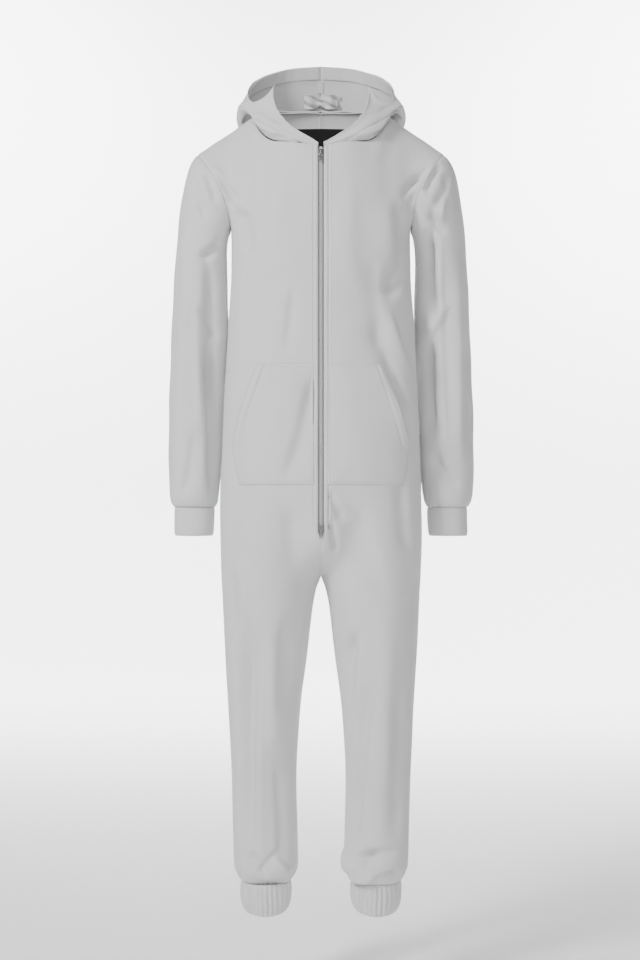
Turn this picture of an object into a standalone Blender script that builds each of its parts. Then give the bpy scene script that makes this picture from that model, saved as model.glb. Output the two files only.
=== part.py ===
"""A hooded onesie pajama with a two-way front zip, hanging hollow as it does when it is worn.

Metres, +Z up. The origin is the middle of the shoulder line, where the wearer carries the garment.
-Y is the front, +X is the wearer's left. Every piece of cloth is a wall that follows one of four
forms: the body from ankle to armpit, the shoulders above it, the sleeves, and the lowered hood.
"""

import math
from collections import namedtuple

import bmesh
import bpy
from mathutils import Matrix, Vector

# ---------------------------------------------------------------- driving dimensions

CLOTH = 0.002            # brushed velour
BAND_CLOTH = 0.0012      # facings and the patch are thinner
SEAM = 0.0003            # pieces stay this far apart where they are sewn
LAYER_GAP = 0.0005       # between a panel and what lies on it
FACING_GAP = 0.0026      # the neck facing hangs a little free of the back,
RIM_BAND_GAP = 0.0028    # the hood's hem facing of the hood,
PATCH_GAP = 0.0012       # and the patch of the hood's two halves

ARMPIT_X, ARMPIT_Z = 0.170, -0.181
TIP_X, TIP_Z = 0.235, -0.040          # where the shoulder seam meets the sleeve
ARMHOLE_DEPTH = 0.062                 # half the armhole, front to back
ARMHOLE_BOW = 0.014                   # the seam bends in towards the chest
CROTCH_Z = -0.842
FRONT_RISE_Z, BACK_RISE_Z = -0.752, -0.700   # where the centre seams turn under
LEGS_FROM_Z, LEGS_BY_Z = -0.600, -0.920      # trunk's sections turn into the legs' between these
SEAT_SHARE = 0.45        # how far from the centre seam its turning under is felt
ROUNDNESS = 2.3          # exponent of the trunk's sections; 2 is an ellipse
FRONT_SHOULDER_ROUNDNESS, BACK_SHOULDER_ROUNDNESS = 1.65, 2.2

ZIP_EDGE = 0.0055        # the cloth stands this far from the zip's middle
ZIP_END_Z = -0.752
ZIP_FADE = 0.014         # below the zip the two edges close up over this height

ANKLE_TOP_Z, ANKLE_HEM_Z = -1.4143, -1.462
CUFF_TOP_Z, CUFF_HEM_Z = -0.7075, -0.762

BODY_COLUMNS = 8         # facets from centre seam to side seam
NECK_COLUMN = 4          # the column that ends at the side of the neck
SHOULDER_ROWS = 7        # facets up the armhole
FACING_ROWS = (6, 2)     # rows of the back, from the top, that the neck facing covers
SLEEVE_FACETS = 2 * SHOULDER_ROWS

# ---------------------------------------------------------------- section tables

# Half of the body at each height: outer edge, inner edge (zero above the crotch), and how far
# it reaches forward and back.
Section = namedtuple("Section", "z outer inner front back")
BODY = [
    Section(-0.181, 0.170, 0.000, 0.122, 0.112),
    Section(-0.260, 0.170, 0.000, 0.124, 0.108),
    Section(-0.363, 0.176, 0.000, 0.120, 0.102),
    Section(-0.494, 0.183, 0.000, 0.118, 0.104),
    Section(-0.589, 0.187, 0.000, 0.120, 0.112),
    Section(-0.665, 0.190, 0.000, 0.121, 0.120),
    Section(-0.760, 0.191, 0.000, 0.117, 0.124),
    Section(-0.842, 0.189, 0.000, 0.106, 0.117),
    Section(-0.856, 0.188, 0.0075, 0.103, 0.113),
    Section(-0.874, 0.187, 0.012, 0.099, 0.109),
    Section(-0.988, 0.182, 0.026, 0.084, 0.092),
    Section(-1.102, 0.175, 0.040, 0.073, 0.078),
    Section(-1.216, 0.170, 0.046, 0.066, 0.073),
    Section(-1.330, 0.167, 0.044, 0.062, 0.067),
    Section(-1.384, 0.165, 0.043, 0.062, 0.063),
    Section(-1.404, 0.158, 0.050, 0.054, 0.054),
    Section(-1.414, 0.151, 0.058, 0.0465, 0.0465),
]

# The sleeve's rings: each is an oval from an inner to an outer point, half as deep as `depth`
# says and centred `back` of the garment's middle. `down` is the way along the arm.
SleeveRing = namedtuple("SleeveRing", "down inner_x inner_z outer_x outer_z depth back")
SLEEVE = [
    SleeveRing(0.000, ARMPIT_X, ARMPIT_Z, TIP_X, TIP_Z, ARMHOLE_DEPTH, 0.000),
    SleeveRing(0.022, 0.1755, -0.198, 0.250, -0.062, 0.065, 0.005),
    SleeveRing(0.055, 0.1785, -0.226, 0.2625, -0.104, 0.065, 0.014),
    SleeveRing(0.100, 0.1790, -0.264, 0.2725, -0.168, 0.063, 0.022),
    SleeveRing(0.160, 0.1780, -0.316, 0.2800, -0.250, 0.061, 0.029),
    SleeveRing(0.230, 0.1790, -0.376, 0.2850, -0.340, 0.059, 0.034),
    SleeveRing(0.320, 0.1840, -0.454, 0.2890, -0.444, 0.057, 0.036),
    SleeveRing(0.412, 0.1880, -0.540, 0.2920, -0.540, 0.054, 0.035),
    SleeveRing(0.492, 0.1910, -0.620, 0.2925, -0.620, 0.050, 0.032),
    SleeveRing(0.552, 0.1945, -0.680, 0.2910, -0.680, 0.046, 0.030),
    SleeveRing(0.570, 0.1975, -0.698, 0.2875, -0.698, 0.042, 0.029),
    SleeveRing(0.579, 0.2035, -0.7072, 0.2805, -0.7072, 0.036, 0.029),
]

# The tubes of ribbed or elastic cloth at the wrists and ankles.
BandRing = namedtuple("BandRing", "z middle_x half_width depth back lean")
WRIST_BAND = [
    BandRing(CUFF_TOP_Z, 0.2420, 0.0385, 0.0360, 0.029, 0.0),
    BandRing(-0.7200, 0.2420, 0.0385, 0.0360, 0.029, 0.0),
    BandRing(-0.7500, 0.2425, 0.0380, 0.0355, 0.028, 0.0),
    BandRing(CUFF_HEM_Z, 0.2430, 0.0365, 0.0340, 0.028, 0.0),
]
ANKLE_BAND = [
    BandRing(ANKLE_TOP_Z, 0.1045, 0.0465, 0.0465, 0.0, 0.00),
    BandRing(-1.4260, 0.1045, 0.0480, 0.0480, 0.0, 0.10),
    BandRing(-1.4440, 0.1045, 0.0475, 0.0475, 0.0, 0.22),
    BandRing(ANKLE_HEM_Z, 0.1045, 0.0430, 0.0430, 0.0, 0.30),
]

# Lines round the neck opening, from the zip round the side to the middle of the back: the seam
# between body and hood, and the hood's free edge.
LinePoint = namedtuple("LinePoint", "turn side back height")
NECK = [
    LinePoint(0.00, 0.0000, -0.1000, -0.0430),
    LinePoint(0.14, 0.0420, -0.0940, -0.0330),
    LinePoint(0.28, 0.0850, -0.0740, -0.0270),
    LinePoint(0.40, 0.1130, -0.0430, -0.0040),
    LinePoint(0.50, 0.1270, 0.0000, 0.0340),
    LinePoint(0.62, 0.1160, 0.0340, 0.0500),
    LinePoint(0.80, 0.0700, 0.0700, 0.0570),
    LinePoint(1.00, 0.0000, 0.0840, 0.0600),
]
RIM = [
    LinePoint(0.00, 0.0000, -0.1000, -0.0380),
    LinePoint(0.16, 0.0450, -0.0900, -0.0090),
    LinePoint(0.29, 0.0780, -0.0720, 0.0140),
    LinePoint(0.42, 0.1130, -0.0420, 0.0410),
    LinePoint(0.52, 0.1370, -0.0060, 0.0680),
    LinePoint(0.62, 0.1390, 0.0340, 0.0900),
    LinePoint(0.70, 0.1320, 0.0680, 0.1130),
    LinePoint(0.78, 0.1160, 0.0980, 0.1320),
    LinePoint(0.85, 0.0920, 0.1230, 0.1470),
    LinePoint(0.92, 0.0560, 0.1420, 0.1600),
    LinePoint(1.00, 0.0000, 0.1500, 0.1660),
]

# The hood's cloth between neck seam and edge: it leaves the seam at `near`, droops to `low`, and
# comes up again through `far`, each measured outward and upward, the last from the free edge.
Droop = namedtuple("Droop", "turn near_out near_up low_out low_up far_out far_up")
DROOP = [
    Droop(0.00, 0.0003, 0.0006, 0.0006, 0.0021, 0.0003, -0.0013),
    Droop(0.15, 0.0020, 0.0025, 0.0035, 0.0090, 0.0020, -0.0055),
    Droop(0.30, 0.006, 0.009, 0.016, 0.018, 0.013, -0.010),
    Droop(0.42, 0.004, 0.013, 0.015, 0.022, 0.012, -0.009),
    Droop(0.50, 0.007, 0.009, 0.019, 0.008, 0.016, -0.011),
    Droop(0.60, 0.014, 0.001, 0.034, -0.020, 0.024, -0.036),
    Droop(0.75, 0.016, 0.000, 0.042, -0.080, 0.038, -0.105),
    Droop(0.88, 0.017, -0.001, 0.045, -0.125, 0.043, -0.145),
    Droop(1.00, 0.018, -0.002, 0.045, -0.140, 0.045, -0.160),
]
DROOP_SHARES = (0.0, 0.12, 0.42, 0.74, 1.0)
HOOD_ROWS = (0.0, 0.06, 0.12, 0.22, 0.32, 0.42, 0.53, 0.64, 0.74, 0.84, 0.92, 1.0)
RIM_BAND = 0.025         # width of the hem facing inside the hood's edge
RIM_BAND_SHARE = 0.25    # of the cloth's length, at most
PATCH_ROWS = (7, 9)      # rows of the hood that the hanging patch covers

# The pocket's outline on one front, as seen from ahead.
POCKET_INNER_X = 0.0120
POCKET_TOP_Z, POCKET_FOOT_Z = -0.442, -0.665
POCKET_MOUTH_TOP_X = 0.1175
POCKET_MOUTH_FOOT = (0.1640, -0.594)
POCKET_FOOT_X = 0.1560
POCKET_CLOTH = 0.0018

# The zip and its hardware.
CHAIN_HALF, CHAIN_THICK = 0.0030, 0.0018
TAPE_HALF, TAPE_THICK = 0.0150, 0.0008
TAPE_DROP = 0.0026       # the tape starts this far behind the cloth's face
SLIDER_HALF, SLIDER_LONG, PLATE_THICK = 0.0050, 0.0130, 0.0012
LIP_THICK, LIP_DEEP = 0.0011, 0.0018
BRIDGE_LONG, BRIDGE_HIGH, BRIDGE_WIDE, BRIDGE_BAR = 0.0090, 0.0042, 0.0022, 0.0011
BRIDGE_FRONT = -PLATE_THICK - BRIDGE_HIGH
PULL_LONG, PULL_HALF, PULL_THICK = 0.0190, 0.0030, 0.0012
EYE_LONG, EYE_HALF = 0.0060, 0.0018
PULL_CORNER = 0.0009     # radius of the tab's four corners
PULL_ABOVE_AXIS = 0.0009
TOP_SLIDER_Z, FOOT_SLIDER_Z = -0.0540, -0.7410

VELOUR, WRIST_RIB = (0.600, 0.602, 0.605), (0.590, 0.592, 0.595)
DARK_JERSEY, ZIP_GREY = (0.012, 0.012, 0.013), (0.42, 0.42, 0.43)
TEETH_GREY, STEEL = (0.30, 0.30, 0.31), (0.62, 0.62, 0.64)

# ---------------------------------------------------------------- curves through the tables


ACROSS, AHEAD, UP = Vector((1, 0, 0)), Vector((0, 1, 0)), Vector((0, 0, 1))
ARM_AXIS = Vector((TIP_Z - ARMPIT_Z, 0, ARMPIT_X - TIP_X)).normalized()


def read(table, key, column, at):
    """A column's value at a key, on a curve through the rows that never overshoots them."""
    rows = sorted(table, key=lambda row: getattr(row, key))
    keys = [getattr(row, key) for row in rows]
    values = [getattr(row, column) for row in rows]
    at = min(max(at, keys[0]), keys[-1])
    i = max(k for k in range(len(keys) - 1) if keys[k] <= at)
    slopes = [
        (b - a) / (q - p) for a, b, p, q in zip(values, values[1:], keys, keys[1:])
    ]

    def tangent(k):
        if k in (0, len(slopes)):
            return slopes[min(k, len(slopes) - 1)]
        before, after = slopes[k - 1], slopes[k]
        return 0.0 if before * after <= 0 else 2 * before * after / (before + after)

    span = keys[i + 1] - keys[i]
    s = (at - keys[i]) / span
    rest = 1 - s
    return (
        values[i] * (1 + 2 * s) * rest * rest
        + tangent(i) * span * s * rest * rest
        + values[i + 1] * (3 - 2 * s) * s * s
        - tangent(i + 1) * span * s * s * rest
    )


def mix(a, b, share):
    return a + (b - a) * share


# ---------------------------------------------------------------- the four forms


def ease(s):
    """0 to 1 with a soft start and end."""
    s = min(max(s, 0.0), 1.0)
    return s * s * (3 - 2 * s)


def leg_share(t, z, face):
    """0 on the trunk and 1 on the leg; the centre seam itself turns under on an ellipse."""
    top = FRONT_RISE_Z if face < 0 else BACK_RISE_Z
    s = min(max((top - z) / (top - CROTCH_Z), 0.0), 1.0)
    seam = 1 - math.sqrt(1 - s * s)
    beyond = ease((z - LEGS_FROM_Z) / (LEGS_BY_Z - LEGS_FROM_Z))
    return mix(seam, beyond, ease(t / SEAT_SHARE))


def body_point(t, z, face):
    """The body below the armpit: t is 0 on the centre seam or inseam and 1 on the side seam."""
    outer, inner = read(BODY, "z", "outer", z), read(BODY, "z", "inner", z)
    depth = read(BODY, "z", "front" if face < 0 else "back", z)
    across = math.sin(t * math.pi / 2)
    trunk_y = depth * (1 - min(across, 1.0) ** ROUNDNESS) ** (1 / ROUNDNESS)
    leg_x = (inner + outer) / 2 - (outer - inner) / 2 * math.cos(t * math.pi)
    leg_y = depth * math.sin(t * math.pi)
    share = leg_share(t, z, face)
    x = mix(outer * across, leg_x, share)
    y = mix(trunk_y, leg_y, share)
    return Vector((max(x, SEAM / 2), face * (y + SEAM / 2), z))


def line_point(table, turn):
    """A point of the neck seam or the hood's edge, for the wearer's left."""
    return Vector([read(table, "turn", column, turn) for column in LinePoint._fields[1:]])


def shoulder_top(t, face):
    """Where a column of the panel ends: on the neck seam, then along the shoulder seam."""
    split = NECK_COLUMN / BODY_COLUMNS
    if t <= split:
        turn = t / split / 2
        return line_point(NECK, turn if face < 0 else 1 - turn)
    neck_side = line_point(NECK, 0.5)
    return neck_side.lerp(Vector((TIP_X, 0, TIP_Z)), (t - split) / (1 - split))


def shoulder_point(t, angle, face):
    """The body above the armpit: angle runs from 0 at the armpit to pi at the shoulder seam."""
    low, top = body_point(t, ARMPIT_Z, face), shoulder_top(t, face)
    v = (1 - math.cos(angle)) / 2
    low_y, top_y = abs(low.y) - SEAM / 2, abs(top.y)
    roundness = FRONT_SHOULDER_ROUNDNESS if face < 0 else BACK_SHOULDER_ROUNDNESS
    keep = (1 - min(v, 1.0) ** roundness) ** (1 / roundness)
    x = mix(low.x, top.x, v) - ARMHOLE_BOW * math.sin(angle) ** 2 * t * t
    y = mix(top_y, low_y, keep) + ARMHOLE_DEPTH * math.sin(angle) * t**4
    return Vector((max(x, SEAM / 2), face * (y + SEAM / 2), mix(low.z, top.z, v)))


def sleeve_point(angle, down):
    """The sleeve: angle is 0 under the arm, a quarter turn at the front and a half on top."""
    ring = {c: read(SLEEVE, "down", c, down) for c in SleeveRing._fields[1:]}
    v = (1 - math.cos(angle)) / 2
    bow = ARMHOLE_BOW * max(0.0, 1 - down / SLEEVE[2].down) ** 2
    x = mix(ring["inner_x"], ring["outer_x"], v) - bow * math.sin(angle) ** 2
    y = ring["back"] - ring["depth"] * math.sin(angle)
    return Vector((x, y, mix(ring["inner_z"], ring["outer_z"], v)))


def band_point(table, angle, z):
    """A wrist or ankle band; its rings lean, so that the front of a hem hangs lower."""
    ring = {c: read(table, "z", c, z) for c in BandRing._fields[1:]}
    x = ring["middle_x"] - ring["half_width"] * math.cos(angle)
    y = -ring["depth"] * math.sin(angle)
    return Vector((x, ring["back"] + y, z + ring["lean"] * y))


def hood_point(turn, v):
    """The lowered hood: v is 0 on the neck seam and 1 on the free edge."""
    seam, rim = line_point(NECK, turn), line_point(RIM, turn)
    out = Vector((math.sin(turn * math.pi), -math.cos(turn * math.pi), 0))
    droop = {c: read(DROOP, "turn", c, turn) for c in Droop._fields[1:]}
    path = [
        seam,
        seam + out * droop["near_out"] + UP * droop["near_up"],
        seam + out * droop["low_out"] + UP * droop["low_up"],
        rim + out * droop["far_out"] + UP * droop["far_up"],
        rim,
    ]
    spots = [LinePoint(share, *p) for share, p in zip(DROOP_SHARES, path)]
    p = line_point(spots, v)
    return Vector((max(p.x, SEAM / 2), p.y, p.z))


# ---------------------------------------------------------------- walls from grids of points


def normals_of(grid, looped):
    """The outward direction at each point, from its neighbours in the grid."""
    rows, columns = len(grid), len(grid[0])
    found = []
    for i in range(rows):
        line = []
        for j in range(columns):
            j_after = (j + 1) % columns if looped else min(j + 1, columns - 1)
            j_before = (j - 1) % columns if looped else max(j - 1, 0)
            along = grid[i][j_after] - grid[i][j_before]
            up = grid[min(i + 1, rows - 1)][j] - grid[max(i - 1, 0)][j]
            line.append(along.cross(up).normalized())
        found.append(line)
    return found


def flatten(normal, axis):
    """The direction with one axis taken out, so that a wall's end lies in its seam's plane."""
    return (normal - axis * normal.dot(axis)).normalized()


def material(name, colour, roughness, metallic=0.0):
    made = bpy.data.materials.get(name) or bpy.data.materials.new(name)
    made.use_nodes = True
    shader = made.node_tree.nodes["Principled BSDF"]
    shader.inputs["Base Color"].default_value = (*colour, 1)
    shader.inputs["Roughness"].default_value = roughness
    shader.inputs["Metallic"].default_value = metallic
    made.diffuse_color = (*colour, 1)
    return made


def put(name, mesh_data, finish):
    """Closes a bmesh into a named object with its material."""
    bmesh.ops.recalc_face_normals(mesh_data, faces=mesh_data.faces)
    if mesh_data.calc_volume(signed=True) < 0:
        bmesh.ops.reverse_faces(mesh_data, faces=mesh_data.faces)
    mesh = bpy.data.meshes.new(name)
    mesh_data.to_mesh(mesh)
    mesh_data.free()
    thing = bpy.data.objects.new(name, mesh)
    thing.data.materials.append(finish)
    bpy.context.scene.collection.objects.link(thing)
    return thing


def wall(name, grid, normals, finish, outside, inside, looped=False):
    """A cloth wall between two offsets from a grid of points, positive ones being outward."""
    rows, columns = len(grid), len(grid[0])
    made = bmesh.new()
    skins = [
        [
            [made.verts.new(p + n * offset) for p, n in zip(points, directions)]
            for points, directions in zip(grid, normals)
        ]
        for offset in (outside, inside)
    ]
    spans = range(columns if looped else columns - 1)
    for i in range(rows - 1):
        for j in spans:
            k = (j + 1) % columns
            for skin in skins:
                made.faces.new((skin[i][j], skin[i][k], skin[i + 1][k], skin[i + 1][j]))
    outer, inner = skins
    for i in (0, rows - 1):
        for j in spans:
            k = (j + 1) % columns
            made.faces.new((outer[i][j], outer[i][k], inner[i][k], inner[i][j]))
    if not looped:
        for j in (0, columns - 1):
            for i in range(rows - 1):
                made.faces.new(
                    (outer[i][j], outer[i + 1][j], inner[i + 1][j], inner[i][j])
                )
    return put(name, made, finish)


def mirrored(grid, side):
    """The grid on the wearer's left (+1), or its mirror image on the right (-1)."""
    if side > 0:
        return grid
    return [[Vector((-p.x, p.y, p.z)) for p in line] for line in grid]


# ---------------------------------------------------------------- the body panels

LEG_ROWS = [-1.414, -1.402, -1.380, -1.320, -1.240, -1.160, -1.080, -1.000, -0.930]
LEG_ROWS += [-0.874, -0.856, CROTCH_Z]
TRUNK_ROWS = [-0.8385, -0.826, -0.806, -0.780, ZIP_END_Z - ZIP_FADE, ZIP_END_Z, -0.715]
TRUNK_ROWS += [-0.665, -0.594, -0.520, -0.442, -0.355, -0.265, ARMPIT_Z]


def centre_edge(z, face):
    """How far a front's edge stands from the middle: the zip's gap, closing up below it."""
    if face > 0 or z <= ZIP_END_Z - ZIP_FADE:
        return 0.0
    return ZIP_EDGE * min(1.0, (z - ZIP_END_Z + ZIP_FADE) / ZIP_FADE)


def panel_grid(face):
    """One front or back, from the ankle up to the shoulder seam, for the wearer's left."""
    grid = []
    for z in LEG_ROWS + TRUNK_ROWS:
        start = math.asin(centre_edge(z, face) / read(BODY, "z", "outer", z)) / (math.pi / 2)
        steps = [mix(start, 1, j / BODY_COLUMNS) for j in range(BODY_COLUMNS + 1)]
        grid.append([body_point(t, z, face) for t in steps])
    for k in range(1, SHOULDER_ROWS + 1):
        angle = math.pi * k / SHOULDER_ROWS
        line = [shoulder_point(j / BODY_COLUMNS, angle, face) for j in range(BODY_COLUMNS + 1)]
        line[0].x = max(line[0].x, centre_edge(ARMPIT_Z, face))
        grid.append(line)
    return grid


def panel_normals(grid, face):
    """Outward directions, with the ends of the wall kept in the planes of their seams."""
    normals = normals_of(grid, looped=False)
    if face > 0:
        normals = [[-n for n in line] for line in normals]
    trunk_from, shoulder_from = len(LEG_ROWS), len(LEG_ROWS) + len(TRUNK_ROWS)
    for i, line in enumerate(normals):
        line[0] = flatten(line[0], AHEAD if i < trunk_from else ACROSS)
        line[-1] = flatten(line[-1], AHEAD if i < shoulder_from else ARM_AXIS)
    for j in range(1, BODY_COLUMNS):
        normals[0][j] = flatten(normals[0][j], UP)
    crotch = normals[trunk_from - 1]
    crotch[0] = Vector((0, 0, -1))
    for j in range(NECK_COLUMN, BODY_COLUMNS + 1):
        normals[-1][j] = flatten(normals[-1][j], AHEAD)
    return normals


def make_panels(velour):
    made = {}
    for face, part in ((-1, "front"), (1, "back")):
        grid = panel_grid(face)
        normals = panel_normals(grid, face)
        made[face] = (grid, normals)
        for side, hand in ((1, "left"), (-1, "right")):
            name = f"{part}_{hand}"
            wall(name, mirrored(grid, side), mirrored(normals, side), velour, 0, -CLOTH)
    return made


def across_centre(rows):
    """Rows of points or directions that start on the centre line, carried on to the right."""
    whole = [mirrored([line[:0:-1]], -1)[0] + [p.copy() for p in line] for line in rows]
    for line in whole:
        line[len(line) // 2].x = 0
    return whole


def make_neck_facing(back, jersey):
    """The dark shield inside the upper back, one piece across the centre seam."""
    grid, normals = (
        across_centre([line[:NECK_COLUMN] for line in rows[-FACING_ROWS[0] : -FACING_ROWS[1]]])
        for rows in back
    )
    inner = -CLOTH - FACING_GAP
    wall("neck_facing", grid, normals, jersey, inner, inner - BAND_CLOTH)


def make_pockets(front, velour):
    """Each pocket is its front's own faces inside the pocket's outline, moved out."""
    grid, normals = front
    mouth_foot = Vector((POCKET_MOUTH_FOOT[0], 0, POCKET_MOUTH_FOOT[1]))
    mouth_top = Vector((POCKET_MOUTH_TOP_X, 0, POCKET_TOP_Z))
    foot = Vector((POCKET_FOOT_X, 0, POCKET_FOOT_Z))
    cuts = [
        (mouth_top, Vector((0, 0, 1))),
        (foot, Vector((0, 0, -1))),
        (Vector((POCKET_INNER_X, 0, 0)), Vector((-1, 0, 0))),
        (mouth_foot, Vector((mouth_foot.z - mouth_top.z, 0, mouth_top.x - mouth_foot.x)) * -1),
        (mouth_foot, Vector((mouth_foot.z - foot.z, 0, foot.x - mouth_foot.x))),
    ]
    for side, hand in ((1, "left"), (-1, "right")):
        made = bmesh.new()
        points = [[made.verts.new(p) for p in line] for line in grid]
        lean = {v: n for line, ns in zip(points, normals) for v, n in zip(line, ns)}
        for i in range(len(points) - 1):
            for j in range(len(points[0]) - 1):
                made.faces.new(
                    (points[i][j], points[i][j + 1], points[i + 1][j + 1], points[i + 1][j])
                )
        for place, away in cuts:
            parts = made.verts[:] + made.edges[:] + made.faces[:]
            bmesh.ops.bisect_plane(
                made, geom=parts, dist=1e-5, plane_co=place, plane_no=away, clear_outer=True
            )
        for face in made.faces:
            if face.normal.y > 0:
                face.normal_flip()
        made.normal_update()
        outward = {v.index: v.normal.copy() for v in made.verts}
        for vert in made.verts:
            vert.co += outward[vert.index] * LAYER_GAP
        skin = made.faces[:]
        thick = bmesh.ops.extrude_face_region(made, geom=skin)
        for vert in (g for g in thick["geom"] if isinstance(g, bmesh.types.BMVert)):
            vert.co += vert.normal * POCKET_CLOTH
        bmesh.ops.transform(made, matrix=Matrix.Scale(side, 4, (1, 0, 0)), verts=made.verts)
        put(f"pocket_{hand}", made, velour)


# ---------------------------------------------------------------- sleeves, bands and hood


def make_sleeves(velour):
    downs = [ring.down for ring in SLEEVE]
    angles = [2 * math.pi * k / SLEEVE_FACETS for k in range(SLEEVE_FACETS)]
    grid = [[sleeve_point(a, down) for a in angles] for down in reversed(downs)]
    grid[-1] = [p + ARM_AXIS * SEAM for p in grid[-1]]
    normals = normals_of(grid, looped=True)
    normals[-1] = [flatten(n, ARM_AXIS) for n in normals[-1]]
    normals[0] = [flatten(n, UP) for n in normals[0]]
    for side, hand in ((1, "left"), (-1, "right")):
        wall(
            f"sleeve_{hand}", mirrored(grid, side), mirrored(normals, side), velour, 0, -CLOTH, True
        )


def make_bands(name, table, rows, finish):
    """A pair of cuffs: tubes through the table's rings."""
    angles = [2 * math.pi * k / SLEEVE_FACETS for k in range(SLEEVE_FACETS)]
    grid = [[band_point(table, a, z) for a in angles] for z in rows]
    normals = normals_of(grid, looped=True)
    normals[-1] = [flatten(n, UP) for n in normals[-1]]
    for side, hand in ((1, "left"), (-1, "right")):
        wall(f"{name}_{hand}", mirrored(grid, side), mirrored(normals, side), finish, 0, -CLOTH, True)


def make_hood(velour):
    """Two halves sewn together over the head, with a hem facing inside their free edge."""
    first = NECK[1].turn * ZIP_EDGE / NECK[1].side
    columns = 2 * NECK_COLUMN
    turns = [first] + [j / columns for j in range(1, columns + 1)]
    grid = [[hood_point(turn, v) for turn in turns] for v in HOOD_ROWS]
    normals = normals_of(grid, looped=False)
    for line in normals:
        line[-1] = flatten(line[-1], ACROSS)
        line[0] = flatten(line[0], ACROSS)
    grid[0] = [p + UP * SEAM for p in grid[0]]
    inner = -CLOTH - RIM_BAND_GAP
    lengths = [
        sum((line[j] - last[j]).length for last, line in zip(grid, grid[1:]))
        for j in range(len(turns))
    ]
    shares = [min(RIM_BAND / length, RIM_BAND_SHARE) for length in lengths]
    band = [
        [hood_point(turn, 1 - share * back) for turn, share in zip(turns, shares)]
        for back in (1, 0.5, 0)
    ]
    band_normals = normals_of(band, looped=False)
    for line in band_normals:
        line[-1] = flatten(line[-1], ACROSS)
        line[0] = flatten(line[0], ACROSS)
    for side, hand in ((1, "left"), (-1, "right")):
        wall(f"hood_{hand}", mirrored(grid, side), mirrored(normals, side), velour, 0, -CLOTH)
        strip, lean = mirrored(band, side), mirrored(band_normals, side)
        wall(f"hood_band_{hand}", strip, lean, velour, inner, inner - BAND_CLOTH)
    rows = slice(*PATCH_ROWS)
    patch = across_centre([line[:-3:-1] for line in grid[rows]])
    lean = across_centre([line[:-3:-1] for line in normals[rows]])
    inner = -CLOTH - PATCH_GAP
    wall("hood_patch", patch, lean, velour, inner, inner - BAND_CLOTH)


# ---------------------------------------------------------------- the zip


def make_zip(front, tape_finish, chain_finish):
    """Two tapes behind the fronts' edges, and the chain between them; gives its middle line."""
    line, tape, lean = [], [], []
    for points, directions in zip(*front):
        edge, beyond = points[0], points[1]
        if edge.z < ZIP_END_Z:
            continue
        share = (TAPE_HALF - edge.x) / (beyond.x - edge.x)
        line.append(Vector((0, edge.y, edge.z)))
        tape.append([line[-1] + ACROSS * SEAM / 2, edge, edge.lerp(beyond, share)])
        lean.append([directions[0]] * 2 + [directions[0].lerp(directions[1], share)])
    drop = -TAPE_DROP
    for side, hand in ((1, "left"), (-1, "right")):
        strip, slant = mirrored(tape, side), mirrored(lean, side)
        wall(f"zip_tape_{hand}", strip, slant, tape_finish, drop, drop - TAPE_THICK)
    chain = [[p + ACROSS * x for x in (-CHAIN_HALF, CHAIN_HALF)] for p in line]
    ahead = [directions[:2] for directions in lean]
    face = drop + SEAM + CHAIN_THICK
    wall("zip_chain", chain, ahead, chain_finish, face, face - CHAIN_THICK)
    return line


def box(made, low, high):
    """Adds a block between two corners."""
    low, high = Vector(low), Vector(high)
    size = Matrix.Diagonal((*(high - low), 1))
    bmesh.ops.create_cube(made, size=1, matrix=Matrix.Translation((low + high) / 2) @ size)


def cut(thing, low, high, name):
    """Takes a block out of an object with a Boolean."""
    cutter = bmesh.new()
    box(cutter, low, high)
    tool = put(name, cutter, thing.data.materials[0])
    tool.hide_render = True
    tool.display_type = "WIRE"
    tool.parent = thing.parent
    modifier = thing.modifiers.new(name, "BOOLEAN")
    modifier.operation = "DIFFERENCE"
    modifier.solver = "EXACT"
    modifier.object = tool
    return tool


def make_slider(name, line, z, steel):
    """A slider saddles the chain; gives the empty that it sits on, with its Z up the zip."""
    i = max(k for k in range(len(line) - 1) if line[k].z <= z)
    rise = (line[i + 1] - line[i]).normalized()
    seat = bpy.data.objects.new(f"{name}_seat", None)
    seat.location = line[i] + rise * ((z - line[i].z) / rise.z) + rise.cross(ACROSS) * SEAM
    seat.rotation_euler.x = -math.asin(rise.y)
    bpy.context.scene.collection.objects.link(seat)
    half = SLIDER_LONG / 2
    body = bmesh.new()
    box(body, (-SLIDER_HALF, BRIDGE_FRONT, -half), (SLIDER_HALF, LIP_DEEP, half))
    slider = put(name, body, steel)
    slider.parent = seat
    groove = SLIDER_HALF - LIP_THICK
    arch = BRIDGE_WIDE / 2
    over = 2 * half
    cut(slider, (-groove, 0, -over), (groove, over, over), f"{name}_groove")
    for side, tag in ((1, "left"), (-1, "right")):
        near, far = sorted((side * arch, side * over))
        cut(slider, (near, -over, -over), (far, -PLATE_THICK, over), f"{name}_{tag}_clear")
    for side, tag in ((1, "top"), (-1, "foot")):
        near, far = sorted((side * BRIDGE_LONG / 2, side * over))
        cut(slider, (-over, -over, near), (over, -PLATE_THICK, far), f"{name}_{tag}_clear")
    inside = BRIDGE_LONG / 2 - BRIDGE_BAR
    cut(
        slider,
        (-over, BRIDGE_FRONT + BRIDGE_BAR, -inside),
        (over, -PLATE_THICK, inside),
        f"{name}_arch",
    )
    return seat


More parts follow.
